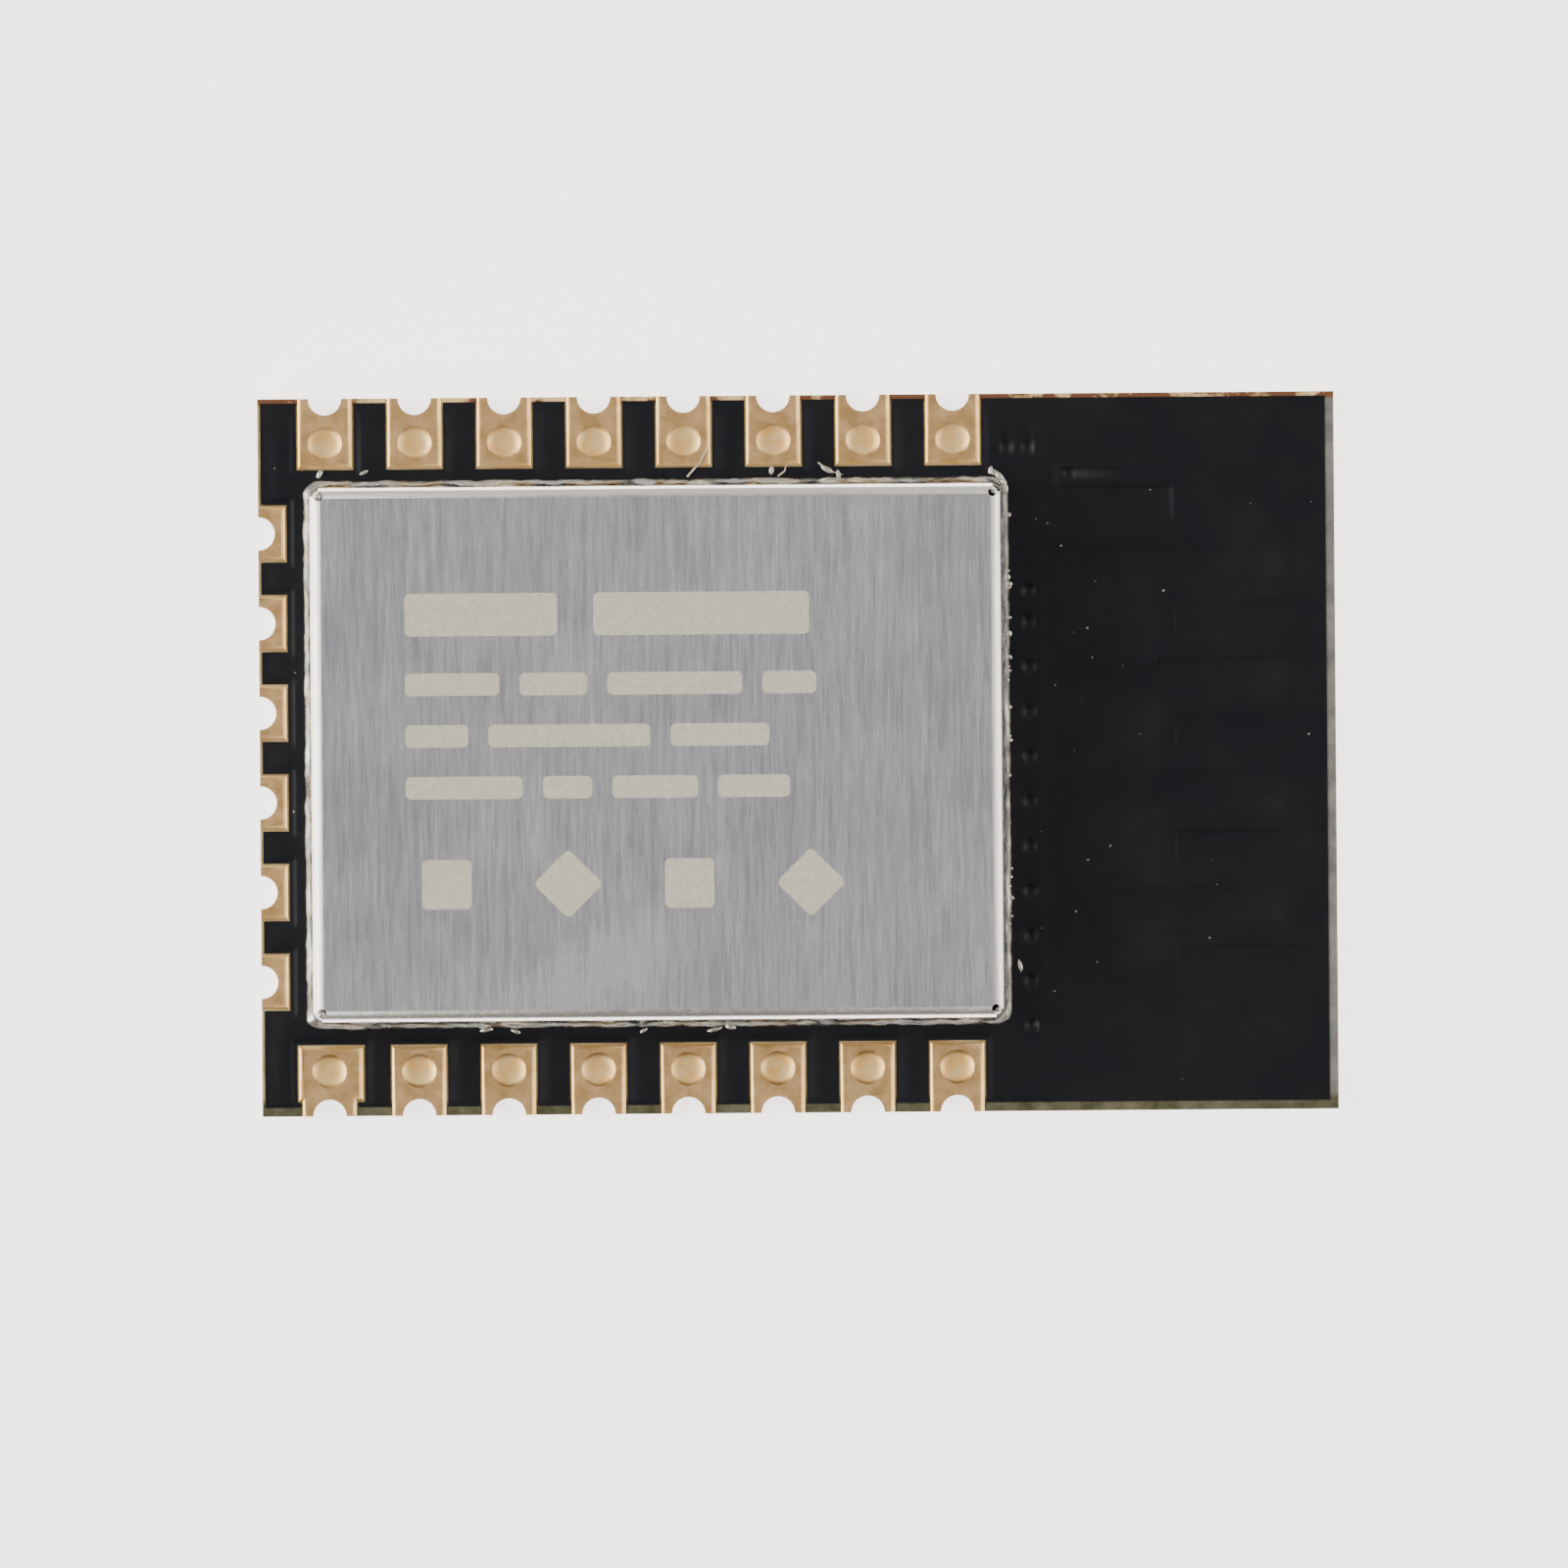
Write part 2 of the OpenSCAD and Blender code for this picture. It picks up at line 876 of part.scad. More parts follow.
module component_solder() {
    color(tin) {
        layer(foil_top, joint_t)
            all_component_lands();
        at_part(chip_at, seat_z)
            chip_lead_places()
                rotate(90)
                    toe_wedge(toe_l, chip_lead_w, chip_lead_t);
        at_part(flash_at, seat_z)
            flash_lead_places()
                translate([(flash_span - flash_w) / 2, 0, 0])
                    toe_wedge(toe_l, flash_lead_w, flash_lead_t);
        for (place = small_parts)
            at_part(place, seat_z)
                both_ways()
                    translate([part_l / 2, 0, 0])
                        toe_wedge(part_land.x - cap_l, part_w, 0.3);
    }
}

laminate();
ground_plane();
antenna();
mask_top();
mask_bottom();
shield_can();
can_solder();
radio_chip();
radio_chip_leads();
flash_chip();
flash_leads();
crystal_base();
crystal_lid();
component_lands();
component_solder();
for (n = [1:len(capacitors)])
    capacitor(n);
for (n = [1:len(resistors)])
    resistor(n);
for (n = [1:len(inductors)])
    inductor(n);
for (n = [1:terminal_count])
    terminal(n);
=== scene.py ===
# %% [markdown]
# # A radio module with castellated edges
#
# The object is a postage-stamp circuit board. A folded metal can covers the radio, gold terminals with
# half holes line three edges, and a copper antenna snakes under the black mask of the free end.
# The CAD model already fixes every size, so Blender's job here is the finish: smooth bends, real solder,
# pressed and sloping copper, and materials that look like what they are.
# The first cell loads the CAD model and keeps its nodes, whose boxes give sizes and places below.

# %% Load the solid model
import math
import random

import bmesh
import bpy
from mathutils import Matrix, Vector


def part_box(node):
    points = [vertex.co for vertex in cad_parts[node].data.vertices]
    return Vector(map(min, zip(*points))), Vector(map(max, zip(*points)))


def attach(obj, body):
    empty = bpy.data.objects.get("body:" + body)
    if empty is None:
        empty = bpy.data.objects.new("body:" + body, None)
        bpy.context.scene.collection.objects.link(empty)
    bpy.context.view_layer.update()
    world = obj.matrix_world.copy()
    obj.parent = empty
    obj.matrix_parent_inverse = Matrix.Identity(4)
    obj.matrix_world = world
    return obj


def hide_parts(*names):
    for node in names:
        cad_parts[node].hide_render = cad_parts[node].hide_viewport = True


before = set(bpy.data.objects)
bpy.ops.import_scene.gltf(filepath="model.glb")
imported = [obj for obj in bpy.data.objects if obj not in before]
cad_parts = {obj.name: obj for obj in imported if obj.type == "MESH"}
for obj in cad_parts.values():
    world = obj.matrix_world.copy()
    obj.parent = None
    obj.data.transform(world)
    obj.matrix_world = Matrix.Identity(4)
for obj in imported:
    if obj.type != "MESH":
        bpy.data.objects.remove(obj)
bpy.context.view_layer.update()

# %% [markdown]
# ## Working in millimetres
#
# The solid model is in metres, but thin plating is a few hundredths of a millimetre thick. Blender's
# bevels and merges behave best with sizes near one, so each piece is modelled with one unit to the
# millimetre and shrunk to metres when it is finished. Places are read off the CAD nodes.

# %% Units and a way to measure nodes
MM = 0.001        # one millimetre, in metres
TINY = 0.0005     # a hair, in mm, for telling places apart


def box_mm(node):
    """Lowest and highest corner of a CAD node, in mm."""
    return tuple(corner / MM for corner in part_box(node))


board_low, board_high = box_mm("laminate")
print("laminate, mm:", [round(v, 3) for v in board_high - board_low])

# %% [markdown]
# ## Selecting by place
#
# Edit-mode operators act on what is selected. With a mouse you would click a face; in code you describe
# it: its middle, its height, the way that it points. These helpers open a piece in edit mode and
# select whatever passes a test.

# %% Helpers for selecting
def nothing():
    """Leaves edit mode with no object selected."""
    if bpy.context.object and bpy.context.object.mode == "EDIT":
        bpy.ops.object.mode_set(mode="OBJECT")
    bpy.ops.object.select_all(action="DESELECT")


def only(obj):
    """Leaves obj as the one selected and active object."""
    nothing()
    obj.select_set(True)
    bpy.context.view_layer.objects.active = obj


def edit(obj):
    """Opens obj in edit mode with nothing selected."""
    only(obj)
    bpy.ops.object.mode_set(mode="EDIT")
    bpy.ops.mesh.select_all(action="DESELECT")


def middle(part):
    """The place of a vertex, or the average of an edge's or a face's corners."""
    if isinstance(part, bmesh.types.BMVert):
        return part.co
    return sum((v.co for v in part.verts), Vector()) / len(part.verts)


def pick(kind, test):
    """In edit mode, selects the parts of one kind (VERT, EDGE or FACE) that pass a test."""
    bpy.ops.mesh.select_mode(type=kind)
    bpy.ops.mesh.select_all(action="DESELECT")
    data = bpy.context.edit_object.data
    mesh = bmesh.from_edit_mesh(data)
    parts = {"VERT": mesh.verts, "EDGE": mesh.edges, "FACE": mesh.faces}[kind]
    chosen = [p for p in parts if test(p)]
    for part in chosen:
        part.select_set(True)
    mesh.select_flush_mode()
    bmesh.update_edit_mesh(data)
    return len(chosen)


# %% Helpers for a whole mesh
def everything():
    """In edit mode, selects the whole mesh."""
    bpy.ops.mesh.select_all(action="SELECT")


def face_outwards():
    """In edit mode, turns every face outwards."""
    everything()
    bpy.ops.mesh.normals_make_consistent(inside=False)


def cut_across(axis, place):
    """In edit mode, cuts the mesh right through at one place on X (axis 0) or Y (axis 1)."""
    point, normal = [0, 0, 0], [0, 0, 0]
    point[axis], normal[axis] = place, 1
    everything()
    bpy.ops.mesh.bisect(plane_co=point, plane_no=normal, threshold=TINY)


# %% [markdown]
# ## Starting, joining and finishing pieces
#
# A piece starts from a primitive at its real size. transform_apply writes its place, turn and scale into
# its mesh. When a piece is done it is shrunk to metres, shaded smooth except at sharp edges, tied to the
# module's one body, and the CAD nodes that it stands for are hidden.

# %% Helpers for whole pieces
def block(centre, size):
    """A cube primitive stretched to a size, in mm."""
    nothing()
    bpy.ops.mesh.primitive_cube_add(size=1, location=centre)
    bpy.context.object.scale = size
    bpy.ops.object.transform_apply()
    return bpy.context.object


def flat_sheet(centre, size):
    """A plane primitive stretched to a size, in mm."""
    nothing()
    bpy.ops.mesh.primitive_plane_add(size=1, location=centre)
    bpy.context.object.scale = (*size, 1)
    bpy.ops.object.transform_apply()
    return bpy.context.object


def rod(centre, radius, depth, sides=48):
    """A cylinder primitive along Z, in mm."""
    nothing()
    bpy.ops.mesh.primitive_cylinder_add(
        vertices=sides, radius=radius, depth=depth, location=centre)
    bpy.ops.object.transform_apply()
    return bpy.context.object


def apply_modifier(obj, kind, **settings):
    """Adds a modifier with its settings and applies it."""
    only(obj)
    modifier = obj.modifiers.new(kind.title(), kind)
    for name, value in settings.items():
        setattr(modifier, name, value)
    bpy.ops.object.modifier_apply(modifier=modifier.name)


def combine(obj, tool, operation):
    """Unites obj with a tool solid, or cuts the tool out of it, and removes the tool."""
    apply_modifier(obj, "BOOLEAN", object=tool, operation=operation, solver="EXACT")
    bpy.data.objects.remove(tool)


def join(objs):
    """Joins several objects into the first."""
    only(objs[0])
    for obj in objs:
        obj.select_set(True)
    bpy.ops.object.join()
    return objs[0]


def copy_of(obj):
    """A copy with a mesh of its own."""
    twin = obj.copy()
    twin.data = obj.data.copy()
    bpy.context.scene.collection.objects.link(twin)
    return twin


def finish_piece(obj, name, materials, stands_for=(), smooth=30):
    """Shrinks a piece to metres, shades it, gives it its materials and ties it to the module."""
    only(obj)
    bpy.ops.object.transform_apply()
    obj.scale = (MM, MM, MM)
    bpy.ops.object.transform_apply()
    bpy.ops.object.shade_smooth_by_angle(angle=math.radians(smooth))
    apply_modifier(obj, "WEIGHTED_NORMAL", weight=100, keep_sharp=True)
    obj.name = obj.data.name = name
    if not obj.data.materials:
        for material in materials:
            obj.data.materials.append(material)
    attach(obj, "root")
    if stands_for:
        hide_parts(*stands_for)
    obj.data.calc_loop_triangles()
    size = [round(v / MM, 2) for v in obj.dimensions]
    print(f"{name}: {len(obj.data.loop_triangles)} triangles, {size} mm")


# %% [markdown]
# ## Building materials from nodes
#
# Colours are picked as sRGB hex values, as a paint chart gives them, while the renderer works with
# linear light, so one function converts them. Every pattern reads Object coordinates, which here are
# metres in the module's own frame, so a scale of 1 / (0.2 * MM) draws features about 0.2 mm across.

# %% Helpers for materials
def paint(code):
    """Linear RGBA from an sRGB hex value such as "#C8A878"."""
    channels = [int(code[i:i + 2], 16) / 255 for i in (1, 3, 5)]
    linear = [c / 12.92 if c <= 0.04045 else ((c + 0.055) / 1.055) ** 2.4 for c in channels]
    return (*linear, 1.0)


def add(tree, kind, links=None, values=None, **settings):
    """Adds one node: its own settings, its sockets' values, and links into its sockets."""
    node = tree.nodes.new(kind)
    for name, value in settings.items():
        setattr(node, name, value)
    for socket, value in (values or {}).items():
        node.inputs[socket].default_value = value
    for socket, source in (links or {}).items():
        tree.links.new(source, node.inputs[socket])
    return node


COLOUR_A, COLOUR_B, COLOUR_OUT = 6, 7, 2     # a Mix node's colour sockets, by number


def new_material(name, **values):
    """A material's tree, its shader with the given values, and the Object coordinates."""
    material = bpy.data.materials.new(name)
    material.use_nodes = True
    tree = material.node_tree
    shader = tree.nodes["Principled BSDF"]
    for socket, value in values.items():
        shader.inputs[socket.replace("_", " ")].default_value = value
    place = add(tree, "ShaderNodeTexCoord").outputs["Object"]
    return material, tree, shader, place


def feed(tree, node, socket):
    """Links a node's result into a socket of the material's shader."""
    result = node.outputs[COLOUR_OUT if node.bl_idname == "ShaderNodeMix" else 0]
    tree.links.new(result, tree.nodes["Principled BSDF"].inputs[socket])


def grainy(name, dark, light, size, detail=3.0, relief=0.2, **values):
    """A material that mixes two tones in grains of one size, in mm, that may stand out a little."""
    material, tree, shader, place = new_material(name, **values)
    grain = add(tree, "ShaderNodeTexNoise", {"Vector": place},
                {"Scale": 1 / (size * MM), "Detail": detail})
    colour = add(tree, "ShaderNodeMix", {0: grain.outputs["Fac"]},
                 {COLOUR_A: paint(dark), COLOUR_B: paint(light)}, data_type="RGBA")
    feed(tree, colour, "Base Color")
    if relief:
        bump = add(tree, "ShaderNodeBump", {"Height": grain.outputs["Fac"]},
                   {"Strength": relief, "Distance": 0.01 * MM})
        feed(tree, bump, "Normal")
    return material


# %% [markdown]
# ## Brushed nickel silver
#
# The can is punched from nickel-silver strip whose face was brushed in the rolling direction, which runs
# across the module, along Y. Brushing leaves fine parallel scratches. They are drawn as noise
# that is stretched about twenty times along Y, in a wide and a narrow size, and drive tone, gloss and bump.
# The sheet was brushed before it was folded, so the pattern is unfolded too: on a wall, height is added to
# X or Y, as far as the surface leans that way. A real scratch is a few micrometres wide, too fine
# to show, so the narrow ones are drawn 0.05 mm wide.
# Near one corner a thumb or a tweezer has scuffed the face: a soft patch of slanting, paler wipes.
# The folds, whose normals point neither straight up nor sideways, are painted paler than the brushed
# faces: a painted highlight for the light that the rounded folds catch.

# %% Coordinates that follow the folded sheet
sheet_metal, tree, shader, place = new_material("brushed_nickel_silver", Metallic=1.0)
at = add(tree, "ShaderNodeSeparateXYZ", {"Vector": place})
lean = add(tree, "ShaderNodeSeparateXYZ",
           {"Vector": tree.nodes["Texture Coordinate"].outputs["Normal"]})
unfolded = {}
for axis in "XY":
    leaning = add(tree, "ShaderNodeMath", {0: lean.outputs[axis]}, operation="ABSOLUTE")
    unfolded[axis] = add(tree, "ShaderNodeMath",
                         {0: at.outputs["Z"], 1: leaning.outputs[0], 2: at.outputs[axis]},
                         operation="MULTIPLY_ADD").outputs[0]
blank = add(tree, "ShaderNodeCombineXYZ", {"X": unfolded["X"], "Y": unfolded["Y"]})

# %% Scratches, tone and gloss of the brushed sheet
scratch_wide, scratch_narrow, stretch_y = 0.15 * MM, 0.05 * MM, 0.045
haze_size = 2.5 * MM
scuff_l, scuff_w, wipe_w = 2.4 * MM, 1.0 * MM, 0.22 * MM
drawn_out = add(tree, "ShaderNodeMapping", {"Vector": blank.outputs[0]},
                {"Scale": (1, stretch_y, 1)})
wide = add(tree, "ShaderNodeTexNoise", {"Vector": drawn_out.outputs[0]},
           {"Scale": 1 / scratch_wide, "Roughness": 0.6})
narrow = add(tree, "ShaderNodeTexNoise", {"Vector": drawn_out.outputs[0]},
             {"Scale": 1 / scratch_narrow, "Detail": 3.0, "Roughness": 0.7})
haze = add(tree, "ShaderNodeTexNoise", {"Vector": place},
           {"Scale": 1 / haze_size, "Detail": 4.0, "Roughness": 0.6})
scratches = add(tree, "ShaderNodeMath", {0: wide.outputs["Fac"], 1: narrow.outputs["Fac"]},
                operation="ADD")
with_haze = add(tree, "ShaderNodeMath", {0: haze.outputs["Fac"], 2: scratches.outputs[0]},
                {1: 0.7}, operation="MULTIPLY_ADD")
scuff_at = add(tree, "ShaderNodeMapping", {"Vector": place},
               {"Location": (4.7 * MM, 4.9 * MM, 0)})
scuff_turned = add(tree, "ShaderNodeMapping", {"Vector": scuff_at.outputs[0]},
                   {"Rotation": (0, 0, math.radians(-32))})
scuff_area = add(tree, "ShaderNodeMapping", {"Vector": scuff_turned.outputs[0]},
                 {"Scale": (1 / scuff_l, 1 / scuff_w, 0)})
scuff_far = add(tree, "ShaderNodeVectorMath", {0: scuff_area.outputs[0]}, operation="LENGTH")
scuff_fade = add(tree, "ShaderNodeMapRange", {"Value": scuff_far.outputs["Value"]},
                 {"From Min": 1.0, "From Max": 0.3})
wipe_line = add(tree, "ShaderNodeMapping", {"Vector": scuff_turned.outputs[0]},
                {"Scale": (0.12, 1, 1)})
wipes = add(tree, "ShaderNodeTexNoise", {"Vector": wipe_line.outputs[0]},
            {"Scale": 1 / wipe_w})
scuff = add(tree, "ShaderNodeMath", {0: scuff_fade.outputs[0], 1: wipes.outputs["Fac"]},
            operation="MULTIPLY")
worn = add(tree, "ShaderNodeMath", {0: scuff.outputs[0], 2: with_haze.outputs[0]}, {1: 0.6},
           operation="MULTIPLY_ADD")
tone = add(tree, "ShaderNodeMapRange", {"Value": worn.outputs[0]},
           {"From Min": 1.1, "From Max": 1.65})
brushed = add(tree, "ShaderNodeMix", {0: tone.outputs[0]},
              {COLOUR_A: paint("#C6C6C8"), COLOUR_B: paint("#F4F2EE")}, data_type="RGBA")
# The folds are mixed towards near-white: a painted highlight, not a property of the sheet.
upright = add(tree, "ShaderNodeMath", {0: lean.outputs["Z"]}, operation="ABSOLUTE")
off_flat = add(tree, "ShaderNodeMapRange", {"Value": upright.outputs[0]},
               {"From Min": 0.998, "From Max": 0.97}, interpolation_type="SMOOTHSTEP")
off_wall = add(tree, "ShaderNodeMapRange", {"Value": upright.outputs[0]},
               {"From Min": 0.05, "From Max": 0.3}, interpolation_type="SMOOTHSTEP")
folded = add(tree, "ShaderNodeMath", {0: off_flat.outputs[0], 1: off_wall.outputs[0]},
             operation="MULTIPLY")
colour = add(tree, "ShaderNodeMix",
             {0: folded.outputs[0], COLOUR_A: brushed.outputs[COLOUR_OUT]},
             {COLOUR_B: paint("#FEFCF6")}, data_type="RGBA")
feed(tree, colour, "Base Color")
gloss = add(tree, "ShaderNodeMapRange", {"Value": narrow.outputs["Fac"]},
            {"To Min": 0.22, "To Max": 0.32})
feed(tree, gloss, "Roughness")
relief = add(tree, "ShaderNodeBump", {"Height": scratches.outputs[0]},
             {"Strength": 0.3, "Distance": 0.006 * MM})
feed(tree, relief, "Normal")

# %% [markdown]
# ## Etched marks, gold and solder
#
# A laser or an etch bites the brushed face away and leaves a pale, matt, slightly creamy surface.
# Immersion gold is a few hundredths of a micrometre of gold over nickel. It copies the copper under
# it, so it looks like fine-grained satin gold. Rims and dish caps get a paler gold, a painted highlight.
# Reflowed solder froze from liquid, so it is bright and softly rippled.

# %% Etched metal
etched_metal = grainy("etched_nickel_silver", "#BCB7A6", "#E6E1D0", 0.12, relief=0.3,
                      Metallic=0.75, Roughness=0.62)


# %% Immersion gold, plain satin and a paler copy as a painted highlight
def gold_plate(name, dull, clean, roughness):
    """Gold over grained copper: stains a third of a millimetre wide and 0.04 mm grain."""
    material, tree, shader, place = new_material(name, Metallic=1.0, Roughness=roughness)
    stain = add(tree, "ShaderNodeTexNoise", {"Vector": place},
                {"Scale": 1 / (0.35 * MM), "Detail": 3.0, "Roughness": 0.6})
    grain = add(tree, "ShaderNodeTexNoise", {"Vector": place},
                {"Scale": 1 / (0.04 * MM)})
    mix = add(tree, "ShaderNodeMapRange", {"Value": stain.outputs["Fac"]},
              {"From Min": 0.35, "From Max": 0.65})
    colour = add(tree, "ShaderNodeMix", {0: mix.outputs[0]},
                 {COLOUR_A: paint(dull), COLOUR_B: paint(clean)}, data_type="RGBA")
    feed(tree, colour, "Base Color")
    bump = add(tree, "ShaderNodeBump", {"Height": grain.outputs["Fac"]},
               {"Strength": 0.2, "Distance": 0.008 * MM})
    feed(tree, bump, "Normal")
    return material


gold_satin = gold_plate("immersion_gold_satin", "#CEA56A", "#F0C68A", 0.37)
# The second gold is a paler copy for the dish and the rim: a painted highlight.
gold_painted_highlight = gold_plate("immersion_gold_painted_highlight", "#FFC872", "#FFDE9E", 0.42)

# %% Reflowed solder
solder_metal, tree, shader, place = new_material("reflowed_solder", Metallic=1.0)
ripple = add(tree, "ShaderNodeTexNoise", {"Vector": place},
             {"Scale": 1 / (0.25 * MM), "Detail": 4.0, "Roughness": 0.55})
colour = add(tree, "ShaderNodeMix", {0: ripple.outputs["Fac"]},
             {COLOUR_A: paint("#AEACA5"), COLOUR_B: paint("#E8E5DC")}, data_type="RGBA")
feed(tree, colour, "Base Color")
gloss = add(tree, "ShaderNodeMapRange", {"Value": ripple.outputs["Fac"]},
            {"From Min": 0.3, "From Max": 0.7, "To Min": 0.2, "To Max": 0.4})
feed(tree, gloss, "Roughness")
waves = add(tree, "ShaderNodeBump", {"Height": ripple.outputs["Fac"]},
            {"Strength": 0.5, "Distance": 0.03 * MM})
feed(tree, waves, "Normal")

# %% [markdown]
# ## Board materials
#
# The solder mask is a black epoxy ink, printed and baked. It is satin, a little blue, with a fine
# orange peel. The laminate is woven glass in epoxy: pale tan where it is cut, greenish where resin
# lies thick, and its cut edge shows the layers of cloth. Plated copper runs under the mask. Cotton lint
# is dull grey dust on it, with grains of 0.03 mm.

# %% Black solder mask
mask_ink, tree, shader, place = new_material(
    "black_solder_mask", IOR=1.5, Specular_IOR_Level=0.24)
blotch = add(tree, "ShaderNodeTexNoise", {"Vector": place},
             {"Scale": 1 / (1.6 * MM), "Detail": 3.0, "Roughness": 0.6})
peel = add(tree, "ShaderNodeTexNoise", {"Vector": place},
           {"Scale": 1 / (0.09 * MM)})
spread = add(tree, "ShaderNodeMapRange", {"Value": blotch.outputs["Fac"]},
             {"From Min": 0.35, "From Max": 0.65})
colour = add(tree, "ShaderNodeMix", {0: spread.outputs[0]},
             {COLOUR_A: paint("#0E1015"), COLOUR_B: paint("#151519")}, data_type="RGBA")
feed(tree, colour, "Base Color")
gloss = add(tree, "ShaderNodeMapRange", {"Value": blotch.outputs["Fac"]},
            {"To Min": 0.27, "To Max": 0.36})
feed(tree, gloss, "Roughness")
skin = add(tree, "ShaderNodeBump", {"Height": peel.outputs["Fac"]},
           {"Strength": 0.15, "Distance": 0.006 * MM})
feed(tree, skin, "Normal")

# %% Glass and epoxy laminate
laminate_edge, tree, shader, place = new_material(
    "glass_epoxy_laminate", Roughness=0.6, IOR=1.55, Specular_IOR_Level=0.25)
split = add(tree, "ShaderNodeSeparateXYZ", {"Vector": place})
lean = add(tree, "ShaderNodeSeparateXYZ",
           {"Vector": tree.nodes["Texture Coordinate"].outputs["Normal"]})
resin = add(tree, "ShaderNodeTexNoise", {"Vector": place},
            {"Scale": 1 / (0.5 * MM), "Detail": 4.0, "Roughness": 0.65})
resin_mix = add(tree, "ShaderNodeMapRange", {"Value": resin.outputs["Fac"]},
                {"From Min": 0.35, "From Max": 0.65})
layer_pitch = 0.18 * MM
cloth = add(tree, "ShaderNodeTexWave", {"Vector": place},
            {"Scale": 2 * math.pi / (20 * layer_pitch), "Distortion": 2.0, "Detail": 2.0,
             "Detail Scale": 0.6},
            bands_direction="Z")
torn = add(tree, "ShaderNodeTexNoise", {"Vector": place},
           {"Scale": 1 / (0.9 * MM), "Detail": 5.0, "Roughness": 0.6})
torn_mix = add(tree, "ShaderNodeMapRange", {"Value": torn.outputs["Fac"]},
               {"From Min": 0.5, "From Max": 0.58})
tan, grey, green, scorched = [
    add(tree, "ShaderNodeMix", {0: mix.outputs[0]}, {COLOUR_A: paint(dark), COLOUR_B: paint(light)},
        data_type="RGBA")
    for mix, dark, light in ((resin_mix, "#8C7040", "#B49C68"), (resin_mix, "#62625E", "#7E7E78"),
                             (resin_mix, "#3E3C24", "#62604A"), (torn_mix, "#6A4228", "#E6C68A"))]
layers = add(tree, "ShaderNodeMix", {0: cloth.outputs["Fac"], COLOUR_A: tan.outputs[COLOUR_OUT]},
             {COLOUR_B: paint("#CDBE94")}, data_type="RGBA")

# %% Stained strips along the laminate's top edges
upward = add(tree, "ShaderNodeMapRange", {"Value": lean.outputs["Z"]},
             {"From Min": 0.5, "From Max": 0.9})
last = layers
for axis, start, end, tint in (("X", 11.6, 11.75, grey), ("Y", -7.6, -7.75, green),
                               ("Y", 7.8, 7.9, scorched)):
    margin = add(tree, "ShaderNodeMapRange", {"Value": split.outputs[axis]},
                 {"From Min": start * MM, "From Max": end * MM})
    strip = add(tree, "ShaderNodeMath", {0: margin.outputs[0], 1: upward.outputs[0]},
                operation="MULTIPLY")
    last = add(tree, "ShaderNodeMix", {0: strip.outputs[0], COLOUR_A: last.outputs[COLOUR_OUT],
                                       COLOUR_B: tint.outputs[COLOUR_OUT]}, data_type="RGBA")
feed(tree, last, "Base Color")
fibres = add(tree, "ShaderNodeBump", {"Height": cloth.outputs["Fac"]},
             {"Strength": 0.5, "Distance": 0.02 * MM})
feed(tree, fibres, "Normal")

# %% Plated copper and lint
copper_plate = grainy("plated_copper", "#A5613C", "#D58A5E", 0.8, detail=4.0, relief=0,
                      Metallic=1.0, Roughness=0.4)
lint = grainy("cotton_lint", "#4C4C49", "#9A9A94", 0.03, detail=2.0, relief=0, Roughness=0.8)

# %% [markdown]
# ## The folded can
#
# The real can is one blank of sheet with its four sides folded down over a die, and a small round
# relief punched at each corner so that the folds don't tear. It is made the same way here: a flat plane,
# each edge spun a quarter turn about the fold's centre, then extruded down to the foot.
# Solidify gives the sheet its thickness inwards, and a Boolean punches the reliefs. Spinning ten
# steps gives a bend that catches one long clean highlight.

# %% Fold the can
can_low, can_high = box_mm("shield_can")
can_mid = (can_low + can_high) / 2
sheet_t = 0.15        # thickness of the sheet
bend_r = 0.25         # outer radius of the folds
wall_run = 0.05       # how far each wall runs on past the flat's corner
flat_half = Vector((can_high.x - can_mid.x - bend_r, can_high.y - can_mid.y - bend_r, 0))
SIDES = [Vector(d) for d in ((1, 0, 0), (0, 1, 0), (-1, 0, 0), (0, -1, 0))]
UP = Vector((0, 0, 1))

can = flat_sheet((can_mid.x, can_mid.y, can_high.z), (2 * flat_half.x, 2 * flat_half.y))
edit(can)
for out in SIDES:
    reach = flat_half.x if out.x else flat_half.y
    pick("EDGE", lambda e: middle(e).z > can_high.z - TINY
         and (middle(e) - can_mid).dot(out) > reach - TINY)
    fold_line = Vector((can_mid.x, can_mid.y, can_high.z - bend_r)) + out * reach
    bpy.ops.mesh.spin(steps=10, angle=math.radians(-90), center=fold_line, axis=UP.cross(out))
    drop = can_low.z - (can_high.z - bend_r)
    bpy.ops.mesh.extrude_region_move(TRANSFORM_OT_translate={"value": (0, 0, drop)})
    pick("VERT", lambda v: (v.co - can_mid).dot(out) > reach + wall_run + TINY)
    across = flat_half.y if out.x else flat_half.x
    wider = 1 + wall_run / across
    bpy.ops.transform.resize(
        value=(1, wider, 1) if out.x else (wider, 1, 1), center_override=can_mid)
face_outwards()
only(can)
print("folded shell, mm:", [round(v, 3) for v in can.dimensions])

# %% Thicken the sheet and punch the corner reliefs
apply_modifier(can, "SOLIDIFY", thickness=sheet_t, offset=-1, use_even_offset=True)
relief_r, relief_out = 0.10, 0.05        # radius, and how far out from the flat's corner
punches = [rod((can_mid.x + sx * (flat_half.x + relief_out),
                can_mid.y + sy * (flat_half.y + relief_out), can_high.z),
               relief_r, 2 * (bend_r + relief_r), 32) for sx in (-1, 1) for sy in (-1, 1)]
combine(can, join(punches), "DIFFERENCE")
apply_modifier(can, "BEVEL", width=0.012, segments=2, limit_method="ANGLE",
               angle_limit=math.radians(45))
finish_piece(can, "can_shell", [sheet_metal], ["shield_can"])

